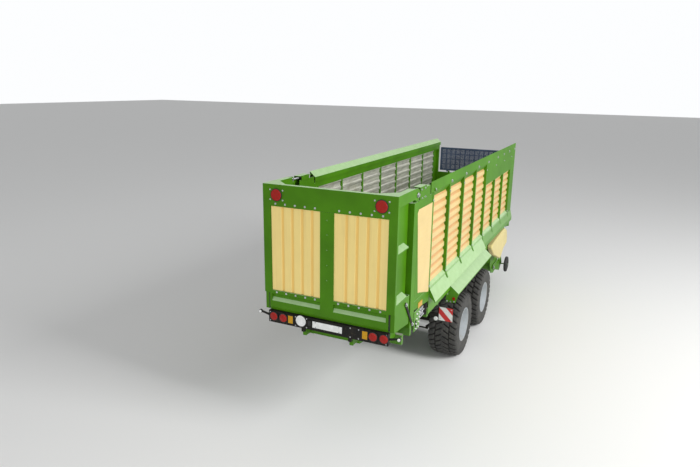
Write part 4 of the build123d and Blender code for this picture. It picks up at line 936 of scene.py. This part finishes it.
@dataclass
class Tailgate:
    """Bolts and lamp bezels of the tailgate."""

    face_x: float = -0.5
    panel_inner: float = 115
    panel_outer: float = 980
    bolts_a_row: int = 5
    bolt_rows: Pair = (3690, 2246)
    post_bolts: tuple[float, ...] = (3520, 3300, 3060, 2820, 2580)
    lamp_y: float = 873
    lamp_z: float = 3828
    lamp_radius: float = 90

    def build(self) -> None:
        """Model and dress the tailgate's small pieces."""
        span = (self.panel_outer - self.panel_inner) / self.bolts_a_row
        heads = [side.at(self.face_x, self.panel_inner + span * (index + 0.5), z)
                 for side in Side for index in range(self.bolts_a_row) for z in self.bolt_rows]
        Fasteners(0.022, 0.009).set("tailgate_bolts", BACKWARD, heads, Body.TAILGATE)
        middle = [Site.at(self.face_x, 0, z) for z in self.post_bolts]
        Fasteners(0.020, 0.007).set("middle_post_bolts", BACKWARD, middle, Body.TAILGATE,
                                    Finish.GREEN)
        corners = [side.at(self.face_x, self.lamp_y + out, self.lamp_z + up)
                   for side in Side for out in (-112, 112) for up in (-76, 76)]
        Fasteners(0.018, 0.008).set("top_lamp_bolts", BACKWARD, corners, Body.TAILGATE)
        for side in Side:
            bezel = Bench.bead(side.named("top_lamp_bezel"), side.at(-10, self.lamp_y, self.lamp_z),
                               self.lamp_radius + 4, 7, 64, 10)
            Bench.dress(bezel, Finish.RUBBER, Body.TAILGATE)


@dataclass
class RearLights:
    """Rings, lenses, frames and screws of the light bar's lamps and plates."""

    face_x: float = -46
    bar_x: float = -20
    lamp_z: float = 1840
    lamp_radius: float = 68
    red: tuple[float, ...] = (938, 762, -800, -976)
    amber: Pair = (626, -668)
    plate_z: float = 1833
    bar_screws: tuple[float, ...] = (-1010, -560, 340, -420, 540, 1012)

    def build(self) -> None:
        """Model and dress the light bar's small pieces."""
        for index, y in enumerate(self.red):
            rim, ring = (Site.at(x, y, self.lamp_z) for x in (self.face_x + 12, self.face_x))
            self.ring(f"lamp_ring_{index}", rim, self.lamp_radius + 3, 7, Finish.RUBBER)
            self.ring(f"lamp_inner_{index}", ring, self.lamp_radius * 0.52, 2, Finish.RED)
            self.dome(f"lamp_dome_{index}", y)
        disc = Site.at(self.bar_x - 4, 444, self.lamp_z + 8)
        self.ring("disc_rim", disc, 94, 4.5, Finish.RUBBER)
        for index, y in enumerate(self.amber):
            self.frame(f"amber_frame_{index}", y, self.lamp_z, 50, 70, 16)
        self.frame("plate_frame", -24, self.plate_z, 266, 61, 7)
        screws = [Site.at(self.bar_x - 5, y, self.plate_z + up)
                  for y in (-230, 180) for up in (-40, 40)]
        screws += [Site.at(self.bar_x, y, z) for y in self.bar_screws for z in (1755, 1900)]
        Fasteners(0.014, 0.006).set("light_bar_screws", BACKWARD, screws)
        lamp = Bench.block("plate_lamp", Site.at(self.bar_x - 38, 255, self.lamp_z - 30),
                           Site.at(self.bar_x, 300, self.lamp_z + 46), 0.008, 3)
        Bench.dress(lamp, Finish.RUBBER)
        for side in Side:
            self.marker(side)

    def marker(self, side: Side) -> None:
        """Make the rubber horn and the two lenses of a side marker lamp.

        Args:
            side: The wagon's side.
        """
        centre = side.at(0, 1207, self.lamp_z + 30)
        horn = Bench.disc(side.named("marker_horn"), centre, 0.031, 0.034, Axis.X, 32, 0.006)
        Bench.dress(horn, Finish.RUBBER)
        for word, end in (("rear", BACKWARD), ("front", FORWARD)):
            lens = Bench.disc(f"{side.named('marker_lens')}_{word}", centre + end * 0.024, 0.023,
                              0.012, Axis.X, 32, 0.004, 3)
            Bench.dress(lens, Finish.WHITE)

    @staticmethod
    def ring(name: str, centre: Vector, radius: float, thick: float, finish: Finish) -> None:
        """Make a round bead on the light bar's rear, with its sizes in millimetres."""
        Bench.dress(Bench.bead(name, centre, radius, thick, 48, 8), finish)

    def dome(self, name: str, y: float) -> None:
        """Make a lamp's shallow domed lens.

        Args:
            name: Name of the piece.
            y: Place across the width.
        """
        Bench.clear()
        bpy.ops.mesh.primitive_uv_sphere_add(segments=48, ring_count=24, radius=1,
                                             location=Site.at(self.face_x + 4, y, self.lamp_z))
        radius = (self.lamp_radius - 9) / 1000
        bpy.context.object.scale = (0.012, radius, radius)
        lens = Bench.added(name)
        Bench.smooth(lens, 60)
        Bench.dress(lens, Finish.RED, slot="red_lens")

    def frame(self, name: str, y: float, z: float, half: float, tall: float, depth: float) -> None:
        """Make an open rectangular frame by insetting a slab and cutting its middle out.

        Args:
            name: Name of the piece.
            y: Middle across the width.
            z: Middle height.
            half: Half its width.
            tall: Half its height.
            depth: How far it stands out of the light bar.
        """
        slab = Bench.block(name, Site.at(self.bar_x - depth, y - half, z - tall),
                           Site.at(self.bar_x, y + half, z + tall), 0)
        Bench.pick(slab, lambda face: abs(face.normal.x) > 0.9)
        bpy.ops.mesh.inset(thickness=0.008, use_individual=True)
        bpy.ops.mesh.bridge_edge_loops()
        Bench.close()
        Bench.dress(Bench.rounded(slab, 0.002), Finish.RUBBER)


@dataclass
class Latches:
    """Wing boxes, latch links, corner seals, aprons and rear panels, and the couplings."""

    link_y: float = 1127
    link_top: Pair = (457, 2240)
    link_low: Pair = (786, 1800)
    wing: Outline = ((22, 1939), (636, 1862), (636, 2344), (60, 2344), (60, 2226), (22, 2226))
    wing_floor: Outline = ((30, 1938), (630, 1862), (630, 1869), (30, 1945))
    apron: Outline = ((875, 1990), (1658, 1892), (1658, 2110), (875, 2110))
    panel: Outline = ((856, 3588), (906, 3640), (1588, 3634), (1598, 2080), (1026, 2250))
    corner: Outline = ((880, 3400), (1040, 2260), (1040, 2224), (880, 2224))
    rail_bolts: Outline = ((1020, 3800), (1180, 3800), (980, 3940), (1160, 3940))

    def build(self) -> None:
        """Model and dress the pieces of both sides."""
        for side in Side:
            self.wing_box(side)
            self.link(side)
            strip = Bench.block(side.named("corner_seal"), side.at(4, 1026, 1962),
                                side.at(50, 1044, 2222), 0.006, 3)
            Bench.dress(strip, Finish.RUBBER, Body.TAILGATE)
            self.side_panels(side)
            self.rail_end(side)
        self.couplings()
        self.valves()

    def wing_box(self, side: Side) -> None:
        """Close the tailgate's wing below its lower shelf: a skin, a bottom, a front and a back.

        Args:
            side: The wagon's side.
        """
        box = [Bench.plate("wing_skin", self.wing, side, 1106, 1114),
               Bench.plate("wing_low", self.wing_floor, side, 1024, 1107, 0.001),
               Bench.block("wing_front", side.at(628, 1024, 1866), side.at(635, 1107, 2342), 0.001),
               Bench.block("wing_back", side.at(22, 1046, 1940), side.at(30, 1107, 2226), 0.001)]
        Bench.dress(Bench.join(side.named("wing_box"), box), Finish.GREEN, Body.TAILGATE)

    def link(self, side: Side) -> None:
        """Make a flat black link with a plated pin at each end.

        Args:
            side: The wagon's side.
        """
        start, end = (side.at(x, self.link_y, z) for x, z in (self.link_top, self.link_low))
        reach = (end - start).length / 2 + 0.03
        bar = Bench.block(side.named("latch_link"), Vector((-0.025, -0.006, -reach)),
                          Vector((0.025, 0.006, reach)), 0.005)
        turn = UP.rotation_difference(end - start).to_matrix().to_4x4()
        bar.data.transform(Matrix.Translation((start + end) / 2) @ turn)
        Bench.dress(bar, Finish.BLACK)
        for word, (x, z), body in (("top", self.link_top, Body.TAILGATE),
                                   ("low", self.link_low, Body.WAGON)):
            Fasteners(0.040, 0.014).set(side.named(f"latch_{word}_pin"), side.outward(),
                                        [side.at(x, self.link_y + 6, z)], body)
            stem = Bench.disc(side.named(f"latch_{word}_stem"), side.at(x, self.link_y - 9, z),
                              0.012, 0.030, Axis.Y, 24)
            Bench.dress(stem, Finish.ZINC, body)

    def side_panels(self, side: Side) -> None:
        """Hang the apron with its reflector, and give the plain panel its slanting edges.

        Args:
            side: The wagon's side.
        """
        apron = Bench.plate(side.named("apron"), self.apron, side, 1104, 1112)
        Bench.dress(apron, Finish.GREEN)
        reflector = Bench.block(side.named("side_reflector"), side.at(1090, 1111, 1950),
                                side.at(1296, 1120, 2044), 0.003)
        Bench.dress(reflector, Finish.AMBER, slot="amber_lens")
        face = Bench.plate(side.named("rear_panel_face"), self.panel, side, 1117, 1119, 0.0008)
        Bench.dress(face, Finish.SIDE_SHEET, slot="beige_paint")
        mask = Bench.plate(side.named("rear_panel_corner"), self.corner, side, 1112, 1118, 0.0008)
        Bench.dress(mask, Finish.GREEN, slot="green_paint")

    def rail_end(self, side: Side) -> None:
        """Make the catch and the bolts at the end of the top rail.

        Args:
            side: The wagon's side.
        """
        catch = Bench.block(side.named("rail_catch"), side.at(1674, WALL_Y, 3806),
                            side.at(1716, 1134, 3858), 0.006)
        Bench.dress(catch, Finish.GREEN)
        heads = [side.at(1695, 1134, 3832)]
        heads += [side.at(x, WALL_Y + 0.5, z) for x, z in self.rail_bolts]
        Fasteners(0.022, 0.010).set(side.named("rail_bolts"), side.outward(), heads)

    @staticmethod
    def couplings() -> None:
        """Make the bracket with its rows of caps and nipples, at the right side."""
        bracket = Bench.block("bracket", Site.at(950, -1104, 1580),
                              Site.at(1230, -1094, 1930), 0.003)
        arm = Bench.block("arm", Site.at(960, -1096, 1880), Site.at(1200, -1040, 1900), 0.003)
        Bench.dress(Bench.join("coupling_bracket", [bracket, arm]), Finish.FENDER)
        caps, nipples = [], []
        for row in range(4):
            for column in range(2):
                x, z = 1010 + 110 * column + 16 * row, 1630 + 80 * row
                cap, nipple = Site.at(x, -1116, z), Site.at(x + 26, -1109, z + 24)
                caps.append(Bench.disc("cap", cap, 0.013, 0.028, Axis.Y, 20, 0.004))
                nipples.append(Bench.disc("nipple", nipple, 0.008, 0.016, Axis.Y, 6, 0.002, 1))
        Bench.dress(Bench.join("coupling_caps", caps), Finish.WHITE)
        Bench.dress(Bench.join("coupling_nipples", nipples), Finish.CHROME)

    @staticmethod
    def valves() -> None:
        """Make the hydraulic block with its fittings, and the upright reservoir."""
        block = Bench.block("valve_block", Site.at(1270, -1090, 1700),
                            Site.at(1450, -1010, 1880), 0.004)
        Bench.dress(block, Finish.ZINC)
        places = [Site.at(x, -1100, z) for z in (1748, 1832) for x in (1304, 1360, 1416)]
        fittings = [Bench.disc("fitting", place, 0.017, 0.032, Axis.Y, 6, 0.002, 1)
                    for place in places]
        Bench.dress(Bench.join("valve_fittings", fittings), Finish.CHROME)
        tank, cap = (Site.at(1630, -1046, z) for z in (1760, 1878))
        tank = Bench.disc("reservoir", tank, 0.052, 0.220, Axis.Z, 40, 0.012, 3)
        Bench.dress(tank, Finish.BLACK)
        cap = Bench.disc("reservoir_cap", cap, 0.028, 0.030, Axis.Z, 24, 0.005)
        Bench.dress(cap, Finish.CHROME)


@dataclass
class SideDetails:
    """Bolts of the side walls and of the tailgate's hinges."""

    wall_rows: Pair = (2170, 3660)
    rail_z: float = 3833
    rail_bolts: tuple[float, ...] = (2699, 3713, 4764, 5693, 6702, 7433, 8158, 8907)

    def build(self) -> None:
        """Model and dress both sides."""
        for side in Side:
            outward = side.outward()
            rail = [side.at(x, WALL_Y + 0.5, self.rail_z) for x in self.rail_bolts]
            Fasteners(0.040, 0.012).set(side.named("rail_heads"), outward, rail)
            wall = [side.at(Site.post(index) + POST_WIDTH / 2, WALL_Y + 0.5, z)
                    for index in range(8) for z in self.wall_rows]
            Fasteners(0.024, 0.010).set(side.named("wall_bolts"), outward, wall)
            pivot = [side.at(817, WALL_Y + 8, 3880)]
            Fasteners(0.052, 0.018).set(side.named("hinge_bolt"), outward, pivot, Body.TAILGATE)


@dataclass
class HeadboardMesh:
    """The close wire mesh in the headboard's frame."""

    x: float = 9015
    half: float = 945
    low: float = 3124
    high: float = 3705
    pitch: float = 18
    wire: float = 10

    def build(self) -> None:
        """Model one wire of each direction, repeat them and dress the mesh."""
        uprights = [Site.at(self.x + 4, -self.half + self.pitch * (index + 0.5),
                            (self.low + self.high) / 2)
                    for index in range(int(2 * self.half / self.pitch))]
        levels = [Site.at(self.x + 7, 0, self.low + self.pitch * (index + 0.5))
                  for index in range(int((self.high - self.low) / self.pitch))]
        half_wire = self.wire / 2
        tall = Vector((half_wire, half_wire, (self.high - self.low) / 2)) / 1000
        wide = Vector((half_wire, self.half, half_wire)) / 1000
        wires = [Bench.copies("wires", Bench.block("wire", -reach, reach, 0), places)
                 for reach, places in ((tall, uprights), (wide, levels))]
        Bench.dress(Bench.join("headboard_wires", wires), Finish.MESH, Body.HEADBOARD)


@dataclass
class Undercarriage:
    """Small pieces of the fenders, skirts, warning boards, pick-up, jack and drawbar."""

    fender_bolts: Outline = ((1068, 1412), (1136, 1408), (1206, 1418), (1068, 1560))
    strip: Outline = ((1052, 2192), (1119, 2140), (1131, 2108), (1129, 2104), (1117, 2137),
                      (1050, 2189))
    skirt_step_x: float = 5500
    foot_rear: Pair = (1170, 2034)
    foot_front: Pair = (1151, 2012)
    board_lamp: Pair = (962, 1150)

    def build(self) -> None:
        """Model and dress the pieces."""
        for side in Side:
            self.fender(side)
            self.skirt(side)
            self.board(side)
            self.pickup(side)
        self.front()

    def fender(self, side: Side) -> None:
        """Make the red reflector and the bolts of a fender's rear plate.

        Args:
            side: The wagon's side.
        """
        reflector = Bench.block(side.named("fender_reflector"), side.at(3022, 1176, 1448),
                                side.at(3030, 1226, 1508), 0.003)
        Bench.dress(reflector, Finish.RED, slot="red_lens")
        heads = [side.at(3029.5, out, z) for out, z in self.fender_bolts]
        Fasteners(0.022, 0.010).set(side.named("fender_bolts"), BACKWARD, heads)

    def skirt(self, side: Side) -> None:
        """Make the bolts along a skirt, and its strips and posts' feet that reach the wall.

        Args:
            side: The wagon's side.
        """
        heads = [side.at(1800 + 490 * index, WALL_Y + 3, 2116) for index in range(15)]
        Fasteners(0.016, 0.007).set(side.named("skirt_bolts"), side.outward(), heads)
        strips, feet = [], []
        for x in map(Site.post, range(1, 8)):
            bay_rear = x - BAY_PITCH + POST_WIDTH
            strips.append(Bench.ridge("strip", self.strip, side, bay_rear + 1, x - 1))
            low = self.foot_rear if x < self.skirt_step_x else self.foot_front
            foot = ((1112, 2150), (1121, 2150), low, (1133, 2084))
            feet.append(Bench.ridge("foot", foot, side, x, x + POST_WIDTH))
        for name, made, finish in (("skirt_strips", strips, Finish.FENDER),
                                   ("post_feet", feet, Finish.POST)):
            Bench.dress(Bench.join(side.named(name), made), finish, slot="green_paint")

    def board(self, side: Side) -> None:
        """Make the lamp beside a warning board, its cup and the board's bolts.

        Args:
            side: The wagon's side.
        """
        out, z = self.board_lamp
        lamp = Bench.disc(side.named("board_lamp"), side.at(2694, out, z), 0.040, 0.030, Axis.X,
                          40, 0.008, 3)
        Bench.dress(lamp, Finish.WHITE)
        cup = Bench.disc(side.named("board_lamp_cup"), side.at(2712, out, z), 0.046, 0.030,
                         Axis.X, 40, 0.006)
        Bench.dress(cup, Finish.RUBBER)
        heads = [side.at(2695.5, y, up) for y in (1045, 1257) for up in (1155, 1367)]
        Fasteners(0.014, 0.006).set(side.named("board_bolts"), BACKWARD, heads)

    @staticmethod
    def pickup(side: Side) -> None:
        """Make the nuts of a gauge wheel and of the pick-up's pivot.

        Args:
            side: The wagon's side.
        """
        for name, size, place, body in (
                ("gauge_nut", (0.044, 0.014), (8693, 1245, 601), Body.PICKUP),
                ("lift_nut", (0.060, 0.016), (7700, 1037, 760), Body.WAGON)):
            Fasteners(*size).set(side.named(name), side.outward(), [side.at(*place)], body)

    @staticmethod
    def front() -> None:
        """Make the crank on the parking jack's top and the bolts of the tow eye's flange."""
        hub = Bench.disc("hub", Site.at(10520, 205, 912), 0.022, 0.026, Axis.Z, 32, 0.004)
        arm = Bench.block("arm", Site.at(10512, 199, 918), Site.at(10658, 211, 930), 0.003)
        grip = Bench.disc("grip", Site.at(10648, 205, 968), 0.013, 0.086, Axis.Z, 24, 0.005, 3)
        Bench.dress(Bench.join("jack_crank", [hub, arm, grip]), Finish.BLACK, Body.DRAWBAR)
        heads = [Site.at(11075.5, y, z) for y in (-66, 66) for z in (508, 565, 622)]
        Fasteners(0.030, 0.014).set("tow_flange_bolts", FORWARD, heads, Body.DRAWBAR)


@dataclass
class Wheel:
    """One wide flotation tyre in place of its plain solid, and the nuts of its rim."""

    axle: Axle
    side: Side
    width: float = 600
    rim_radius: float = 338
    pitches: int = 32
    steps_a_pitch: int = 4
    lug_depth: float = 20
    slant: float = -0.26
    middle_rib: float = 0.05
    ring_groove: Pair = (0.44, 0.50)
    nut_count: int = 10
    nut_circle: float = 0.1375
    disc_out: float = 0.051

    def __post_init__(self) -> None:
        """Work out the wheel's name, body, middle, crown and half width, in metres."""
        self.name = self.side.named(self.axle.name.lower())
        self.body = Body(f"wheel_{self.name}")
        self.centre = self.side.at(self.axle.value, TRACK_HALF, WHEEL_RADIUS)
        self.crown = (WHEEL_RADIUS - self.lug_depth) / 1000
        self.half = self.width / 2000

    def section(self) -> list[Pair]:
        """Give the tyre's section, from bead to bead.

        Returns:
            Each point's place across and radius, in metres.
        """
        base = self.crown * 1000
        flank = [(0.84, self.rim_radius + 1), (0.92, self.rim_radius + 16), (0.955, 375),
                 (0.985, 420), (0.995, 470), (0.99, 520), (0.972, 562), (0.948, base - 54)]
        crown = [(0.86, base - 17), (0.68, base - 7), (0.50, base - 2), (0.44, base - 2),
                 (0.24, base), (0.05, base)]
        left = [(self.half * share, radius / 1000) for share, radius in flank + crown]
        return left + [(-across, radius) for across, radius in reversed(left)]

    def build(self) -> None:
        """Model the tyre with its tread, then the rim's nuts, and dress both."""
        steps = self.pitches * self.steps_a_pitch
        tyre = Bench.turned(f"tread_{self.name}", self.section(), self.centre, steps)
        self.lean(tyre)
        self.raise_lugs(tyre)
        Bench.smooth(Bench.rounded(tyre, 0.005, limit=38), 40)
        Bench.dress(tyre, Finish.TYRE, self.body, "tyre_rubber")
        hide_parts(f"tyre_{self.name}")
        outward = self.side.outward()
        face = self.centre + outward * self.disc_out
        turns = (TURN * index / self.nut_count for index in range(self.nut_count))
        nuts = [face + Vector((math.cos(turn), 0, math.sin(turn))) * self.nut_circle
                for turn in turns]
        Fasteners(0.030, 0.016).set(f"nuts_{self.name}", outward, nuts, self.body)

    def lean(self, tyre: Piece) -> None:
        """Turn each ring of the crown a little further than the one inside it.

        Args:
            tyre: The turned tyre.
        """
        shoulder = self.crown - 0.056
        for point in tyre.data.vertices:
            offset = point.co - self.centre
            if math.hypot(offset.x, offset.z) > shoulder:
                turn = Matrix.Rotation(self.slant * abs(offset.y) / self.half, 4, "Y")
                point.co = self.centre + turn @ offset

    def raise_lugs(self, tyre: Piece) -> None:
        """Push out the tread's blocks, staggered left and right of the middle.

        Args:
            tyre: The turned tyre.
        """
        shoulder = self.crown - 0.040
        pitch = TURN / self.pitches

        def is_lug(face: bpy.types.MeshPolygon) -> bool:
            """Find whether a face is on a block of the tread.

            Args:
                face: A face of the turned tyre.

            Returns:
                True for a face to be raised.
            """
            offset = face.center - self.centre
            share = abs(offset.y) / self.half
            if math.hypot(offset.x, offset.z) < shoulder:
                return False
            if share < self.middle_rib:
                return True
            if self.ring_groove[0] < share < self.ring_groove[1]:
                return False
            turn = math.atan2(offset.x, offset.z) - self.slant * share
            step = math.floor(turn / pitch * self.steps_a_pitch) % self.steps_a_pitch
            gap = (0 if share > self.ring_groove[0] else 2) + int(offset.y > 0)
            return step != gap

        Bench.pick(tyre, is_lug)
        bpy.ops.mesh.extrude_region_shrink_fatten(
            TRANSFORM_OT_shrink_fatten={"value": self.lug_depth / 1000})
        bpy.ops.object.mode_set(mode="OBJECT")


@dataclass
class Dressing:
    """Gives every node of the frame its finish."""

    frame: dict

    def build(self) -> None:
        """Put the finish of each node's slot, or the node's own finish, on the node."""
        slots = {"green_paint": Finish.GREEN, "beige_paint": Finish.BEIGE,
                 "black_paint": Finish.BLACK, "rim_paint": Finish.SILVER,
                 "tyre_rubber": Finish.TYRE, "rubber": Finish.RUBBER,
                 "bare_steel": Finish.STEEL, "chrome_rod": Finish.CHROME,
                 "white_plastic": Finish.WHITE, "red_lens": Finish.RED,
                 "amber_lens": Finish.AMBER, "board_face": Finish.STRIPES,
                 "mesh_paint": Finish.MESH}
        own = {"skirts": Finish.FENDER, "side_panels": Finish.SIDE_SHEET,
               "floor_deck": Finish.FLOOR, "tailgate_panels": Finish.RIBBED}
        for part in self.frame["record"]["subparts"]:
            finish = own.get(part["node"], slots[part["material_slot"]])
            finish.cover(self.frame["nodes"][part["node"]])


@dataclass
class Studio:
    """Pale floor, soft lamps and the camera at the photograph's viewing angle."""

    place: tuple[float, float, float] = (-12.994, -3.864, 5.497)
    heading: tuple[float, float, float] = (0.87543, 0.41279, -0.25146)
    roll: float = 0.897
    lens: float = 29.74
    aim: tuple[float, float, float] = (0.0, 0.0, 1.8)
    sky: float = 0.46

    def build(self) -> None:
        """Make the floor, the world, the lamps and the camera."""
        self.floor()
        self.world()
        self.lamp("sun_side", (-4.5, -18.0, 12.5), 7.0, 3550.0)
        self.lamp("fill_rear", (-19.0, -3.0, 9.0), 9.0, 480.0)
        self.camera()

    @staticmethod
    def floor() -> None:
        """Lay a plain pale floor under the wheels."""
        Bench.clear()
        bpy.ops.mesh.primitive_plane_add(size=240.0, location=(0.0, 0.0, 0.0))
        floor = Bench.added("floor")
        board = Board("pale_floor")
        board.set(Base_Color=srgb(236, 236, 235), Roughness=0.9)
        floor.data.materials.append(board.material)

    def world(self) -> None:
        """Light the wagon from a pale sky that the camera sees as white."""
        world = bpy.data.worlds.new("pale_sky")
        bpy.context.scene.world = world
        world.use_nodes = True
        tree = world.node_tree
        back = tree.nodes["Background"]
        back.inputs["Color"].default_value = (0.98, 0.99, 1.0, 1.0)
        path = tree.nodes.new("ShaderNodeLightPath")
        seen = tree.nodes.new("ShaderNodeMath")
        seen.operation = "MAXIMUM"
        strength = tree.nodes.new("ShaderNodeMapRange")
        strength.inputs["To Min"].default_value = self.sky
        strength.inputs["To Max"].default_value = 1.0
        for source, target in ((path.outputs["Is Camera Ray"], seen.inputs[0]),
                               (path.outputs["Is Glossy Ray"], seen.inputs[1]),
                               (seen.outputs[0], strength.inputs["Value"]),
                               (strength.outputs[0], back.inputs["Strength"])):
            tree.links.new(source, target)

    def lamp(self, name: str, place: tuple[float, float, float], size: float, power: float) -> None:
        """Hang a soft square lamp that faces the wagon's middle.

        Args:
            name: Name of the lamp.
            place: Where it hangs.
            size: Length of its side.
            power: Its power in watts.
        """
        data = bpy.data.lights.new(name, "AREA")
        data.size = size
        data.energy = power
        lamp = bpy.data.objects.new(name, data)
        bpy.context.scene.collection.objects.link(lamp)
        lamp.location = place
        aim = Vector(self.aim) - Vector(place)
        lamp.rotation_euler = aim.to_track_quat("-Z", "Y").to_euler()

    def camera(self) -> None:
        """Set the camera from the solved place, heading and roll."""
        data = bpy.data.cameras.new("camera")
        data.sensor_width = 36.0
        data.lens = self.lens
        data.clip_end = 400.0
        camera = bpy.data.objects.new("camera", data)
        bpy.context.scene.collection.objects.link(camera)
        ahead = Vector(self.heading).to_track_quat("-Z", "Y").to_matrix().to_4x4()
        roll = Matrix.Rotation(math.radians(self.roll), 4, "Z")
        camera.matrix_world = Matrix.Translation(self.place) @ ahead @ roll
        bpy.context.scene.camera = camera


def main() -> None:
    """Build the looks in order."""
    logging.basicConfig(level=logging.INFO, format="%(message)s")
    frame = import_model()
    bpy.context.scene.view_settings.view_transform = "Standard"
    wheels = [Wheel(axle, side) for axle in Axle for side in Side]
    for assembly in (Studio(), Dressing(frame), Tailgate(), RearLights(), Latches(),
                     SideDetails(), HeadboardMesh(), Undercarriage(), *wheels):
        assembly.build()


if __name__ == "__main__":
    main()
